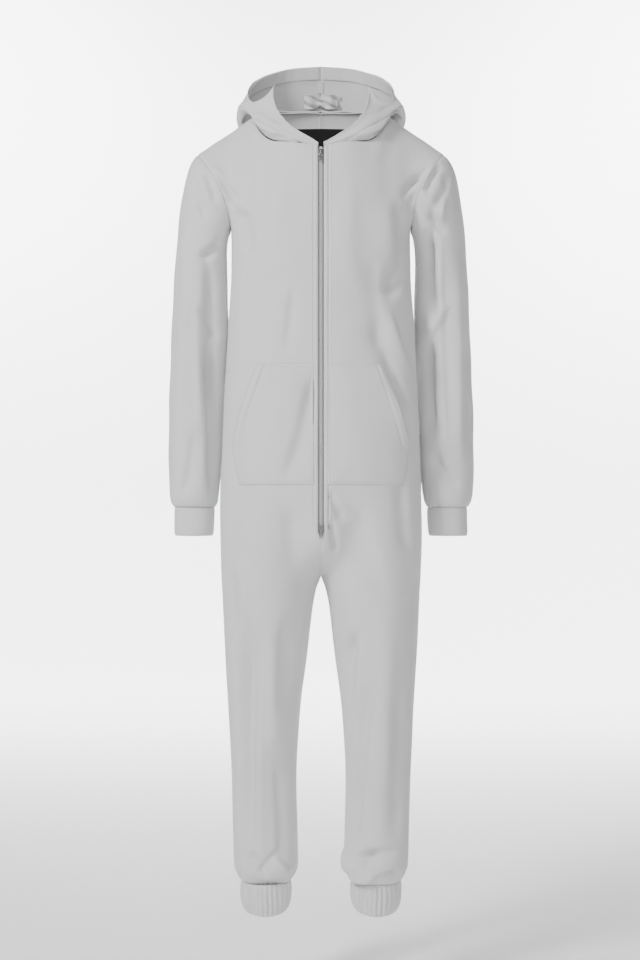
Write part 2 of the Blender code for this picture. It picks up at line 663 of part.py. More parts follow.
def make_pull(name, seat, steel):
    """A pull tab whose eye hangs in the bridge, turning on the pivot's X axis."""
    pivot = bpy.data.objects.new(f"{name}_pivot", None)
    pivot.parent = seat
    inside = BRIDGE_LONG / 2 - BRIDGE_BAR
    pivot.location = (0, -PLATE_THICK - (BRIDGE_HIGH - BRIDGE_BAR) / 2, -inside)
    pivot.location.z += PULL_ABOVE_AXIS + SEAM
    bpy.context.scene.collection.objects.link(pivot)
    thick = PULL_THICK / 2
    top = PULL_ABOVE_AXIS
    tab = bmesh.new()
    box(tab, (-PULL_HALF, -thick, top - PULL_LONG), (PULL_HALF, thick, top))
    upright = [e for e in tab.edges if abs((e.verts[0].co - e.verts[1].co).y) > thick]
    bmesh.ops.bevel(
        tab,
        geom=upright,
        offset=PULL_CORNER,
        segments=2,
        profile=0.5,
        affect="EDGES",
        material=-1,
    )
    pull = put(name, tab, steel)
    pull.parent = pivot
    low = (-EYE_HALF, -PULL_THICK, -top - EYE_LONG)
    cut(pull, low, (EYE_HALF, PULL_THICK, -top), f"{name}_eye")


# ---------------------------------------------------------------- the whole garment


def main():
    for thing in list(bpy.data.objects):
        bpy.data.objects.remove(thing)
    velour = material("velour", VELOUR, 0.9)
    rib = material("band_velour", WRIST_RIB, 0.9)
    jersey = material("dark_jersey", DARK_JERSEY, 0.9)
    tape = material("zip_tape", ZIP_GREY, 0.7)
    steel = material("steel", STEEL, 0.3, 1.0)
    panels = make_panels(velour)
    make_neck_facing(panels[1], jersey)
    make_pockets(panels[-1], velour)
    make_sleeves(velour)
    make_bands("cuff", WRIST_BAND, [ring.z for ring in reversed(WRIST_BAND)], rib)
    make_bands("ankle_cuff", ANKLE_BAND, [ring.z for ring in reversed(ANKLE_BAND)], rib)
    make_hood(velour)
    teeth = material("zip_teeth", TEETH_GREY, 0.4)
    line = make_zip(panels[-1], tape, teeth)
    for tag, z in (("top", TOP_SLIDER_Z), ("foot", FOOT_SLIDER_Z)):
        seat = make_slider(f"slider_{tag}", line, z, steel)
        make_pull(f"pull_{tag}", seat, steel)


main()
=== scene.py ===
import math
from collections import namedtuple

import bmesh
import bpy
import numpy as np
from mathutils import Matrix, Vector


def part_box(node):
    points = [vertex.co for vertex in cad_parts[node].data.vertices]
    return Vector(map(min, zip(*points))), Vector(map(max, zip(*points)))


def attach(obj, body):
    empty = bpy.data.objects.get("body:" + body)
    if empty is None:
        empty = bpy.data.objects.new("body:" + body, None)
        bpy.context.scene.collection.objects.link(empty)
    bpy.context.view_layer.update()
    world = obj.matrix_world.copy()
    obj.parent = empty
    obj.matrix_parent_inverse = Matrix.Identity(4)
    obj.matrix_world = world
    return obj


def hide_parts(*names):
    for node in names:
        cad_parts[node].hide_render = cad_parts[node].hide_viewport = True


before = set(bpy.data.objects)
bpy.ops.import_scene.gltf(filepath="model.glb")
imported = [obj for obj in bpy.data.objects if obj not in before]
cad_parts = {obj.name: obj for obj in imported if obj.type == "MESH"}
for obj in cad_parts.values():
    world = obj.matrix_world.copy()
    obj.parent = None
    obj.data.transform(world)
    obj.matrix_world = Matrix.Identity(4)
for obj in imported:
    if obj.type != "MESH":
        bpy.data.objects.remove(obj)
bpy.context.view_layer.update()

# ---------------------------------------------------------------- the velour
# The garment is cut from a light grey cotton-rich velour: a knitted ground with a short brushed
# pile, so it scatters light softly, glows at grazing angles and shows faint strokes in its nap.

NAP_STROKES = 42.0          # per metre, the soft patches where the pile leans another way
NAP_GRAIN = 900.0           # per metre, the pile itself


def make_nap_group():
    """Colour, roughness and normal of a brushed pile, shared by every velour material."""
    group = bpy.data.node_groups.new("brushed_pile", "ShaderNodeTree")
    face = group.interface
    for name, kind, value in (
        ("Colour", "NodeSocketColor", (0.6, 0.6, 0.6, 1)),
        ("Stroke depth", "NodeSocketFloat", 0.04),
        ("Pile height", "NodeSocketFloat", 0.0004),
    ):
        socket = face.new_socket(name, in_out="INPUT", socket_type=kind)
        socket.default_value = value
    face.new_socket("Colour", in_out="OUTPUT", socket_type="NodeSocketColor")
    face.new_socket("Roughness", in_out="OUTPUT", socket_type="NodeSocketFloat")
    face.new_socket("Normal", in_out="OUTPUT", socket_type="NodeSocketVector")
    nodes, links = group.nodes, group.links
    given = nodes.new("NodeGroupInput")
    result = nodes.new("NodeGroupOutput")
    place = nodes.new("ShaderNodeTexCoord")
    stretch = nodes.new("ShaderNodeMapping")
    stretch.inputs["Scale"].default_value = (1.0, 1.0, 0.28)
    links.new(place.outputs["Object"], stretch.inputs["Vector"])
    strokes = nodes.new("ShaderNodeTexNoise")
    strokes.inputs["Scale"].default_value = NAP_STROKES
    strokes.inputs["Detail"].default_value = 3.0
    strokes.inputs["Roughness"].default_value = 0.55
    links.new(stretch.outputs["Vector"], strokes.inputs["Vector"])
    grain = nodes.new("ShaderNodeTexNoise")
    grain.inputs["Scale"].default_value = NAP_GRAIN
    grain.inputs["Detail"].default_value = 2.0
    links.new(place.outputs["Object"], grain.inputs["Vector"])
    both = nodes.new("ShaderNodeMath")
    both.operation = "MULTIPLY_ADD"
    both.inputs[1].default_value = 0.35
    links.new(grain.outputs["Fac"], both.inputs[0])
    links.new(strokes.outputs["Fac"], both.inputs[2])
    centred = nodes.new("ShaderNodeMath")
    centred.operation = "SUBTRACT"
    centred.inputs[1].default_value = 0.675
    links.new(both.outputs[0], centred.inputs[0])
    share = nodes.new("ShaderNodeMath")
    share.operation = "MULTIPLY_ADD"
    share.inputs[2].default_value = 1.0
    links.new(centred.outputs[0], share.inputs[0])
    links.new(given.outputs["Stroke depth"], share.inputs[1])
    tint = nodes.new("ShaderNodeVectorMath")
    tint.operation = "SCALE"
    links.new(given.outputs["Colour"], tint.inputs[0])
    links.new(share.outputs[0], tint.inputs["Scale"])
    links.new(tint.outputs["Vector"], result.inputs["Colour"])
    rough = nodes.new("ShaderNodeMapRange")
    rough.inputs["To Min"].default_value = 0.82
    rough.inputs["To Max"].default_value = 0.97
    links.new(strokes.outputs["Fac"], rough.inputs["Value"])
    links.new(rough.outputs["Result"], result.inputs["Roughness"])
    bump = nodes.new("ShaderNodeBump")
    bump.inputs["Strength"].default_value = 0.6
    links.new(given.outputs["Pile height"], bump.inputs["Distance"])
    links.new(grain.outputs["Fac"], bump.inputs["Height"])
    links.new(bump.outputs["Normal"], result.inputs["Normal"])
    return group


nap_group = make_nap_group()


def make_velour(name, colour, stroke_depth, pile_height, sheen):
    made = bpy.data.materials.new(name)
    made.use_nodes = True
    nodes, links = made.node_tree.nodes, made.node_tree.links
    shader = nodes["Principled BSDF"]
    nap = nodes.new("ShaderNodeGroup")
    nap.node_tree = nap_group
    nap.inputs["Colour"].default_value = (*colour, 1)
    nap.inputs["Stroke depth"].default_value = stroke_depth
    nap.inputs["Pile height"].default_value = pile_height
    links.new(nap.outputs["Colour"], shader.inputs["Base Color"])
    links.new(nap.outputs["Roughness"], shader.inputs["Roughness"])
    links.new(nap.outputs["Normal"], shader.inputs["Normal"])
    shader.inputs["Sheen Weight"].default_value = sheen
    shader.inputs["Sheen Roughness"].default_value = 0.45
    shader.inputs["Specular IOR Level"].default_value = 0.2
    return made


velour = make_velour("velour", (0.600, 0.602, 0.605), 0.10, 0.0005, 0.25)

# ---------------------------------------------------------------- fronts and backs
# Each front and each back is one length of velour from shoulder to ankle, joined down the sides,
# inseams and centre with narrow overlocked seams, and turned in along the zip. Worn, it hangs from
# the shoulders in long soft folds, with short ones where the sleeves pull.

CLOTH = 0.0020
SEAM = 0.0003
ARMPIT_X, ARMPIT_Z = 0.170, -0.181
TIP_X, TIP_Z = 0.235, -0.040
ARMHOLE_DEPTH, ARMHOLE_BOW = 0.062, 0.014
CROTCH_Z = -0.842
FRONT_RISE_Z, BACK_RISE_Z = -0.752, -0.700
LEGS_FROM_Z, LEGS_BY_Z, SEAT_SHARE = -0.600, -0.920, 0.45
ROUNDNESS, FRONT_SHOULDER_ROUNDNESS, BACK_SHOULDER_ROUNDNESS = 2.3, 1.65, 2.2
ZIP_EDGE, ZIP_END_Z, ZIP_FADE = 0.0055, -0.752, 0.014
LEG_END_Z = -1.414
SMOOTHING = 90              # rounds that even out the armpit, the crotch and the neck's corner
NECK_SHARE = 0.5            # of a panel's columns end on the neck seam

Section = namedtuple("Section", "z outer inner front back")
BODY = [
    Section(-0.181, 0.170, 0.000, 0.122, 0.112),
    Section(-0.260, 0.170, 0.000, 0.124, 0.108),
    Section(-0.363, 0.176, 0.000, 0.120, 0.102),
    Section(-0.494, 0.183, 0.000, 0.118, 0.104),
    Section(-0.589, 0.187, 0.000, 0.120, 0.112),
    Section(-0.665, 0.190, 0.000, 0.121, 0.120),
    Section(-0.760, 0.191, 0.000, 0.117, 0.124),
    Section(-0.842, 0.189, 0.000, 0.106, 0.117),
    Section(-0.856, 0.188, 0.0075, 0.103, 0.113),
    Section(-0.874, 0.187, 0.012, 0.099, 0.109),
    Section(-0.988, 0.182, 0.026, 0.084, 0.092),
    Section(-1.102, 0.175, 0.040, 0.073, 0.078),
    Section(-1.216, 0.170, 0.046, 0.066, 0.073),
    Section(-1.330, 0.167, 0.044, 0.062, 0.067),
    Section(-1.384, 0.165, 0.043, 0.062, 0.063),
    Section(-1.404, 0.158, 0.050, 0.054, 0.054),
    Section(-1.414, 0.151, 0.058, 0.0465, 0.0465),
]
LinePoint = namedtuple("LinePoint", "turn side back height")
NECK = [
    LinePoint(0.00, 0.0000, -0.1000, -0.0430),
    LinePoint(0.14, 0.0420, -0.0940, -0.0330),
    LinePoint(0.28, 0.0850, -0.0740, -0.0270),
    LinePoint(0.40, 0.1130, -0.0430, -0.0040),
    LinePoint(0.50, 0.1270, 0.0000, 0.0340),
    LinePoint(0.62, 0.1160, 0.0340, 0.0500),
    LinePoint(0.80, 0.0700, 0.0700, 0.0570),
    LinePoint(1.00, 0.0000, 0.0840, 0.0600),
]


def through(x, y):
    """A smooth function through points that never overshoots them."""
    x, y = np.asarray(x, float), np.asarray(y, float)
    slope = np.diff(y) / np.diff(x)
    before, after = slope[:-1], slope[1:]
    same_way = before * after > 0
    safe = np.where(same_way, before + after, 1.0)
    middle = np.where(same_way, 2 * before * after / safe, 0.0)
    tangent = np.concatenate(([slope[0]], middle, [slope[-1]]))

    def at(where):
        where = np.clip(where, x[0], x[-1])
        i = np.clip(np.searchsorted(x, where, side="right") - 1, 0, len(x) - 2)
        span = x[i + 1] - x[i]
        s = (where - x[i]) / span
        rest = 1 - s
        return (
            y[i] * (1 + 2 * s) * rest**2
            + tangent[i] * span * s * rest**2
            + y[i + 1] * (3 - 2 * s) * s**2
            - tangent[i + 1] * span * s**2 * rest
        )

    return at


def columns_of(table):
    """Each column of a table, as a smooth function of its first."""
    rows = sorted(table)
    keys = [row[0] for row in rows]
    names = rows[0]._fields[1:]
    return {name: through(keys, [getattr(row, name) for row in rows]) for name in names}


def mix(a, b, share):
    return a + (b - a) * share


def ease(s):
    """0 to 1 with a soft start and end."""
    s = np.clip(s, 0.0, 1.0)
    return s * s * (3 - 2 * s)


body = columns_of(BODY)
neck = columns_of(NECK)


def superellipse(across, roundness):
    return (1 - np.clip(across, 0, 1) ** roundness) ** (1 / roundness)


def body_form(t, z, face):
    """Points of the trunk and legs: t is 0 on the centre seam or inseam and 1 on the side seam."""
    outer, inner = body["outer"](z), body["inner"](z)
    depth = body["front" if face < 0 else "back"](z)
    across = np.sin(t * math.pi / 2)
    trunk_y = depth * superellipse(across, ROUNDNESS)
    leg_x = (inner + outer) / 2 - (outer - inner) / 2 * np.cos(t * math.pi)
    leg_y = depth * np.sin(t * math.pi)
    top = FRONT_RISE_Z if face < 0 else BACK_RISE_Z
    s = np.clip((top - z) / (top - CROTCH_Z), 0.0, 1.0)
    under = 1 - np.sqrt(1 - s * s)
    legs = ease((z - LEGS_FROM_Z) / (LEGS_BY_Z - LEGS_FROM_Z))
    share = mix(under, legs, ease(t / SEAT_SHARE))
    x = mix(outer * across, leg_x, share)
    y = mix(trunk_y, leg_y, share)
    return np.stack((np.maximum(x, SEAM / 2), face * (y + SEAM / 2), z + 0 * t), axis=-1)


def shoulder_form(t, angle, face):
    """Points above the armpit: angle runs from 0 at the armpit to pi at the shoulder seam."""
    low = body_form(t, np.full_like(t, ARMPIT_Z), face)
    turn = np.clip(t / NECK_SHARE, 0, 1) / 2
    turn = turn if face < 0 else 1 - turn
    out = np.clip((t - NECK_SHARE) / (1 - NECK_SHARE), 0, 1)
    top_x = mix(neck["side"](turn), TIP_X, out)
    top_y = np.where(out > 0, 0.0, np.abs(neck["back"](turn)))
    top_z = mix(neck["height"](turn), TIP_Z, out)
    v = (1 - np.cos(angle)) / 2
    keep = superellipse(v, FRONT_SHOULDER_ROUNDNESS if face < 0 else BACK_SHOULDER_ROUNDNESS)
    x = mix(low[..., 0], top_x, v) - ARMHOLE_BOW * np.sin(angle) ** 2 * t * t
    low_y = np.abs(low[..., 1]) - SEAM / 2
    y = mix(top_y, low_y, keep) + ARMHOLE_DEPTH * np.sin(angle) * t**4
    z = mix(ARMPIT_Z, top_z, v)
    return np.stack((np.maximum(x, SEAM / 2), face * (y + SEAM / 2), z), axis=-1)


def smooth_grid(points, weight, rounds):
    """Relaxes a grid where weight says so, as cloth evens out; its edges stay."""
    weight = weight[1:-1, 1:-1, None] * 0.5
    for _ in range(rounds):
        middle = (points[:-2, 1:-1] + points[2:, 1:-1] + points[1:-1, :-2] + points[1:-1, 2:]) / 4
        points[1:-1, 1:-1] += (middle - points[1:-1, 1:-1]) * weight
    return points


def outward(points, sign):
    """Unit normals of a grid."""
    n = np.cross(np.gradient(points, axis=1), np.gradient(points, axis=0)) * sign
    return n / np.maximum(np.linalg.norm(n, axis=-1, keepdims=True), 1e-12)


# A fold runs from one point to another on its panel, bowed sideways; a negative height is a trough.
FOLD_DEPTH = 2.3
Fold = namedtuple("Fold", "from_a from_b to_a to_b bow width height")


def folds(a, b, table, lean=0.3):
    """The height of a table of folds over a panel whose points have coordinates a and b, in metres."""
    total = np.zeros(np.broadcast(a, b).shape)
    for fold in table:
        run_a, run_b = fold.to_a - fold.from_a, fold.to_b - fold.from_b
        length = math.hypot(run_a, run_b)
        along = ((a - fold.from_a) * run_a + (b - fold.from_b) * run_b) / length**2
        across = ((a - fold.from_a) * run_b - (b - fold.from_b) * run_a) / length
        inside = np.clip(along, 0, 1)
        across = across - fold.bow * 4 * inside * (1 - inside)
        ends = ease(np.minimum(along, 1 - along) / 0.32 + 0.12)
        width = fold.width * (1 + lean * np.tanh(across / fold.width))
        swell = 1 + 0.22 * np.sin(along * 7.0 + fold.from_a * 90)
        total += fold.height * ends * swell * np.exp(-((across / width) ** 2))
    return FOLD_DEPTH * total


FRONT_FOLDS = {
    1: [
        Fold(0.196, -0.082, 0.150, -0.135, 0.004, 0.006, -0.0040),
        Fold(0.206, -0.070, 0.165, -0.104, -0.003, 0.005, -0.0035),
        Fold(0.190, -0.120, 0.160, -0.150, 0.002, 0.006, -0.0030),
        Fold(0.160, -0.160, 0.118, -0.330, -0.012, 0.016, -0.0060),
        Fold(0.120, -0.130, 0.150, -0.300, 0.008, 0.018, 0.0035),
        Fold(0.105, -0.350, 0.166, -0.520, 0.010, 0.012, -0.0050),
        Fold(0.125, -0.340, 0.172, -0.470, 0.006, 0.009, 0.0030),
        Fold(0.088, -0.240, 0.100, -0.440, -0.006, 0.016, -0.0026),
        Fold(0.050, -0.090, 0.056, -0.320, 0.005, 0.024, 0.0020),
        Fold(0.014, -0.672, 0.046, -0.730, 0.003, 0.007, -0.0030),
        Fold(0.016, -0.730, 0.026, -0.790, -0.003, 0.006, -0.0040),
        Fold(0.060, -0.700, 0.130, -0.900, 0.012, 0.026, -0.0035),
        Fold(0.150, -0.640, 0.162, -0.800, 0.004, 0.013, -0.0032),
        Fold(0.064, -0.930, 0.052, -1.075, 0.005, 0.011, -0.0060),
        Fold(0.095, -1.030, 0.055, -1.345, 0.004, 0.016, -0.0075),
        Fold(0.118, -0.900, 0.112, -1.320, -0.004, 0.024, 0.0040),
        Fold(0.150, -1.020, 0.140, -1.350, 0.003, 0.015, -0.0030),
        Fold(0.052, -1.370, 0.150, -1.352, -0.008, 0.010, -0.0040),
        Fold(0.050, -1.402, 0.105, -1.396, 0.004, 0.006, 0.0040),
        Fold(0.095, -1.405, 0.150, -1.388, -0.004, 0.006, -0.0040),
        Fold(0.046, -1.345, 0.050, -1.400, 0.002, 0.006, 0.0035),
        Fold(0.110, -1.340, 0.075, -1.396, 0.004, 0.008, -0.0035),
    ],
    -1: [
        Fold(0.192, -0.092, 0.150, -0.140, -0.003, 0.006, -0.0042),
        Fold(0.188, -0.128, 0.158, -0.150, 0.002, 0.005, -0.0038),
        Fold(0.205, -0.074, 0.172, -0.108, 0.003, 0.005, 0.0025),
        Fold(0.156, -0.150, 0.138, -0.240, 0.006, 0.013, -0.0045),
        Fold(0.090, -0.110, 0.074, -0.290, 0.006, 0.026, 0.0024),
        Fold(0.050, -0.290, 0.066, -0.430, 0.002, 0.010, -0.0024),
        Fold(0.120, -0.230, 0.128, -0.420, -0.006, 0.022, -0.0026),
        Fold(0.010, -0.455, 0.062, -0.655, 0.006, 0.017, -0.0045),
        Fold(0.152, -0.620, 0.166, -0.820, -0.004, 0.014, -0.0030),
        Fold(0.060, -0.700, 0.050, -0.830, 0.006, 0.022, -0.0030),
        Fold(0.168, -0.820, 0.170, -0.950, 0.003, 0.010, -0.0040),
        Fold(0.144, -0.880, 0.141, -1.360, 0.006, 0.021, -0.0095),
        Fold(0.114, -0.940, 0.116, -1.380, -0.002, 0.010, 0.0040),
        Fold(0.088, -0.950, 0.092, -1.180, 0.004, 0.020, 0.0030),
        Fold(0.060, -0.900, 0.072, -1.120, -0.004, 0.018, -0.0035),
        Fold(0.082, -1.180, 0.074, -1.370, 0.004, 0.013, -0.0030),
        Fold(0.056, -1.392, 0.090, -1.352, 0.005, 0.008, 0.0060),
        Fold(0.060, -1.404, 0.140, -1.404, 0.006, 0.006, -0.0030),
        Fold(0.140, -1.350, 0.098, -1.400, 0.004, 0.007, -0.0035),
        Fold(0.075, -1.345, 0.120, -1.392, -0.003, 0.007, -0.0032),
    ],
}
BACK_FOLDS = {
    1: [
        Fold(0.186, -0.100, 0.140, -0.155, 0.004, 0.007, -0.0042),
        Fold(0.196, -0.080, 0.150, -0.120, -0.003, 0.006, -0.0030),
        Fold(0.160, -0.160, 0.096, -0.400, 0.014, 0.018, -0.0060),
        Fold(0.105, -0.180, 0.070, -0.520, -0.010, 0.022, -0.0045),
        Fold(0.150, -0.420, 0.090, -0.600, 0.008, 0.015, -0.0045),
        Fold(0.100, -0.560, 0.150, -0.760, 0.010, 0.020, 0.0040),
        Fold(0.020, -0.300, 0.034, -0.640, 0.006, 0.018, -0.0030),
        Fold(0.030, -0.760, 0.110, -0.850, 0.012, 0.014, -0.0060),
        Fold(0.040, -0.830, 0.120, -0.930, 0.010, 0.012, -0.0045),
        Fold(0.120, -0.930, 0.130, -1.350, 0.006, 0.020, -0.0070),
        Fold(0.080, -1.000, 0.070, -1.360, -0.004, 0.014, -0.0050),
        Fold(0.060, -1.380, 0.140, -1.366, -0.006, 0.009, -0.0045),
    ],
    -1: [
        Fold(0.190, -0.095, 0.146, -0.150, -0.003, 0.007, -0.0038),
        Fold(0.165, -0.165, 0.110, -0.360, 0.010, 0.016, -0.0065),
        Fold(0.088, -0.150, 0.060, -0.460, -0.008, 0.024, -0.0040),
        Fold(0.140, -0.450, 0.080, -0.640, 0.006, 0.016, -0.0042),
        Fold(0.120, -0.540, 0.160, -0.780, 0.008, 0.018, 0.0034),
        Fold(0.026, -0.770, 0.100, -0.870, 0.010, 0.015, -0.0060),
        Fold(0.070, -0.840, 0.140, -0.900, 0.006, 0.012, -0.0035),
        Fold(0.132, -0.960, 0.120, -1.330, -0.005, 0.018, -0.0062),
        Fold(0.090, -0.940, 0.096, -1.250, 0.004, 0.020, 0.0036),
        Fold(0.066, -1.120, 0.078, -1.370, 0.004, 0.013, -0.0048),
        Fold(0.064, -1.372, 0.150, -1.386, 0.006, 0.009, -0.0040),
    ],
}
PLACKET = 0.0082            # from the turned edge to its topstitching
COLUMN_STEPS = ((0, 16, 70, 78), (0.0, 0.075, 0.965, 1.0))


def panel_points(face):
    """A fine grid over one panel, for the wearer's left: rows rise, columns run to the side."""
    leg_z = np.linspace(LEG_END_Z, CROTCH_Z, 128)
    trunk_z = np.linspace(CROTCH_Z, ARMPIT_Z, 146)[1:]
    angle = np.linspace(0, math.pi, 46)[3:]
    share = np.interp(np.arange(COLUMN_STEPS[0][-1] + 1), *COLUMN_STEPS)
    z = np.concatenate((leg_z, trunk_z))[:, None]
    edge = np.zeros_like(z)
    if face < 0:
        edge = ZIP_EDGE * np.clip((z - ZIP_END_Z + ZIP_FADE) / ZIP_FADE, 0, 1)
    start = np.arcsin(edge / body["outer"](z)) / (math.pi / 2)
    lower = body_form(mix(start, 1, share[None, :]), z, face)
    start = start[-1, 0]
    t, angle = np.meshgrid(mix(start, 1, share), angle)
    upper = shoulder_form(t, angle, face)
    if face < 0:
        lift = ZIP_EDGE - upper[:, :1, 0]
        upper[..., 0] += lift * np.clip(1 - share / 0.3, 0, 1)
    points = np.concatenate((lower, upper))
    t = np.broadcast_to(share, points.shape[:2])
    armpit = np.exp(-(((points[..., 2] - ARMPIT_Z) / 0.055) ** 2)) * ease((t - 0.3) / 0.3)
    crotch = np.exp(-(((points[..., 2] - CROTCH_Z) / 0.05) ** 2)) * ease((0.5 - t) / 0.3)
    corner = np.exp(-(((t - NECK_SHARE) / 0.06) ** 2)) * ease((points[..., 2] - ARMPIT_Z) / 0.06)
    return smooth_grid(points, np.maximum.reduce((armpit, crotch, corner)), SMOOTHING)


def from_edges(points):
    """How far each point lies from its row's first and last point, along the cloth."""
    step = np.linalg.norm(np.diff(points, axis=1), axis=-1)
    first = np.concatenate((np.zeros((len(points), 1)), np.cumsum(step, axis=1)), axis=1)
    return first, first[:, -1:] - first


def body_folds(points, face, side):
    """The folds of one front or back, with the faint unevenness of cloth that hangs."""
    x, z = points[..., 0], points[..., 2]
    height = folds(x, z, (FRONT_FOLDS if face < 0 else BACK_FOLDS)[side])
    return height + 0.0011 * np.sin(z * 23 + x * 31 + side) * np.sin(x * 47 - z * 9 + face)


def panel_relief(points, face, side):
    """Folds, the seams' rolled edges and, on a front, the placket beside the zip."""
    z = points[..., 2]
    first, last = from_edges(points)
    height = body_folds(points, face, side)
    pucker = 0.0005 * np.sin(z * 420 + np.sin(z * 61) * 2)
    height += pucker * np.exp(-(((last - 0.007) / 0.008) ** 2))
    height *= 1 - 0.9 * np.exp(-((last / 0.012) ** 2)) - 0.9 * np.exp(-((first / 0.012) ** 2))
    at_zip = ease((z - ZIP_END_Z) / 0.01) if face < 0 else 0 * z
    seam = np.exp(-((last / 0.0032) ** 2)) + (1 - at_zip) * np.exp(-((first / 0.0030) ** 2))
    strip = 0.0010 * ease((PLACKET - first) / 0.0015)
    groove = 0.0012 * np.exp(-(((first - PLACKET) / 0.0014) ** 2))
    welt = 0.0005 * np.exp(-(((first - PLACKET - 0.0040) / 0.0022) ** 2))
    rolled = 0.0014 * np.exp(-((first / 0.0016) ** 2))
    return height - 0.0014 * seam + at_zip * (strip - groove + welt - rolled)


def finish_mesh(name, made, material, rides="garment", replaced=()):
    """Puts a bmesh into the scene as a smooth piece that rides on a body."""
    mesh = bpy.data.meshes.new(name)
    made.to_mesh(mesh)
    made.free()
    mesh.shade_smooth()
    mesh.materials.append(material)
    piece = bpy.data.objects.new(name, mesh)
    bpy.context.scene.collection.objects.link(piece)
    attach(piece, rides)
    if replaced:
        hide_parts(*replaced)
    return piece


def shell(name, points, material, thickness=CLOTH, looped=False, replaced=()):
    """A shell of cloth over a grid of points that face outward, its inner face a thickness in."""
    rows, columns = points.shape[:2]
    made = bmesh.new()
    bmesh.ops.create_grid(made, x_segments=columns - 1, y_segments=rows - 1, size=1)
    for vert, place in zip(made.verts, points.reshape(-1, 3).tolist()):
        vert.co = place
    if looped:
        bmesh.ops.remove_doubles(made, verts=made.verts, dist=1e-6)
    piece = finish_mesh(name, made, material, replaced=replaced)
    wall = piece.modifiers.new("thickness", "SOLIDIFY")
    wall.thickness = thickness
    wall.offset = -1
    return piece


def on_side(points, side):
    """The grid on the wearer's left, or its mirror image, still facing outward."""
    if side > 0:
        return points
    return (points * (-1, 1, 1))[:, ::-1]


HANDS = ((1, "left"), (-1, "right"))
panel_base = {face: panel_points(face) for face in (-1, 1)}
panel_normals = {face: outward(panel_base[face], -face) for face in (-1, 1)}
shaped = {}
for face, part, cut in ((-1, "front", 0.385), (1, "back", 0.400)):
    for side, hand in HANDS:
        relief = panel_relief(panel_base[face], face, side)
        points = panel_base[face] + panel_normals[face] * relief[..., None]
        shaped[face, side] = points
        placed = on_side(points, side)
        placed = placed if face < 0 else placed[:, ::-1]
        panel = shell(f"{part}_{hand}_cloth", placed, velour, replaced=[f"{part}_{hand}"])

# The seams are closed with a light grey thread: two rows of topstitching hold each placket down
# over its zip tape, and a bar tack closes it at the foot.

STITCH_LONG, STITCH_PITCH, THREAD = 0.0027, 0.0036, 0.00085


def make_woven(name, scale, dark, light, roughness, relief=0.0):
    """A twisted thread or a woven tape: fine diagonal lines between two tones."""
    made = bpy.data.materials.new(name)
    made.use_nodes = True
    nodes, links = made.node_tree.nodes, made.node_tree.links
    shader = nodes["Principled BSDF"]
    place = nodes.new("ShaderNodeTexCoord")
    weave = nodes.new("ShaderNodeTexWave")
    weave.bands_direction = "DIAGONAL"
    weave.inputs["Scale"].default_value = scale
    links.new(place.outputs["Object"], weave.inputs["Vector"])
    tone = nodes.new("ShaderNodeMix")
    tone.data_type = "RGBA"
    tone.inputs["A"].default_value = (*dark, 1)
    tone.inputs["B"].default_value = (*light, 1)
    links.new(weave.outputs["Fac"], tone.inputs["Factor"])
    links.new(tone.outputs["Result"], shader.inputs["Base Color"])
    shader.inputs["Roughness"].default_value = roughness
    if relief:
        bump = nodes.new("ShaderNodeBump")
        bump.inputs["Distance"].default_value = relief
        links.new(weave.outputs["Fac"], bump.inputs["Height"])
        links.new(bump.outputs["Normal"], shader.inputs["Normal"])
    return made


thread = make_woven("thread", 900, (0.44, 0.44, 0.45), (0.56, 0.56, 0.565), 0.6)


def on_path(spots, run, path):
    """Points on a path, at given distances in its run."""
    return np.stack([np.interp(spots, run, path[:, k]) for k in range(3)], axis=-1)


def evenly(path, pitch):
    """Places at an even pitch along a path, with the direction of the path at each."""
    path = np.asarray(path)
    step = np.linalg.norm(np.diff(path, axis=0), axis=1)
    run = np.concatenate(([0], np.cumsum(step)))
    spots = np.arange(pitch / 2, run[-1], pitch)
    ahead, behind = (on_path(spots + step, run, path) for step in (pitch / 2, -pitch / 2))
    return on_path(spots, run, path), ahead - behind


def frame_at(place, along, out):
    """A matrix with its X along a seam and its Z out of the cloth."""
    along = Vector(along).normalized()
    across = Vector(out).cross(along).normalized()
    made = Matrix((along, across, along.cross(across))).transposed().to_4x4()
    made.translation = place
    return made


def sew(name, runs):
    """Lockstitches along runs of (path, outward direction); each stitch is one small bead."""
    made = bmesh.new()
    size = Matrix.Diagonal((STITCH_LONG / 2, THREAD / 2, THREAD / 2, 1))
    for path, out in runs:
        for place, along in zip(*evenly(path, STITCH_PITCH)):
            spot = frame_at(place, along, out) @ size
            bmesh.ops.create_icosphere(made, subdivisions=1, radius=1, matrix=spot)
    return finish_mesh(name, made, thread)


def at_distance(points, distance):
    """The line that runs up a panel at a distance from its first edge."""
    first, _ = from_edges(points)
    return np.array([on_path(distance, run, row) for run, row in zip(first, points)])


OUT_AHEAD = (0, -1, 0)
for side, hand in HANDS:
    line = at_distance(shaped[-1, side], PLACKET)
    line = line[(line[:, 2] > ZIP_END_Z + 0.012) & (line[:, 2] < -0.05)] * (side, 1, 1)
    sew(f"placket_stitches_{hand}", [(line, OUT_AHEAD)])
    tack = line[0] + np.array([[-0.0035, 0, 0], [0.0035, 0, 0]])
    sew(f"placket_bar_tack_{hand}", [(tack + (0, -0.0004, 0.0006 * k), OUT_AHEAD) for k in range(4)])

# ---------------------------------------------------------------- pockets
# Two halves of a kangaroo pocket, one on each front, of the same velour. The top, the side and the
# foot are turned in and topstitched down; the slanted mouth is hemmed and stands a little open.

POCKET_INNER_X, POCKET_FOOT_X = 0.0120, 0.1560
POCKET_TOP_Z, POCKET_FOOT_Z = -0.442, -0.665
MOUTH_TOP_X, MOUTH_FOOT = 0.1175, (0.1640, -0.594)
LAYER_GAP, POCKET_CLOTH, MOUTH_HEM = 0.0005, 0.0018, 0.0150
POCKET_STITCH = 0.0045


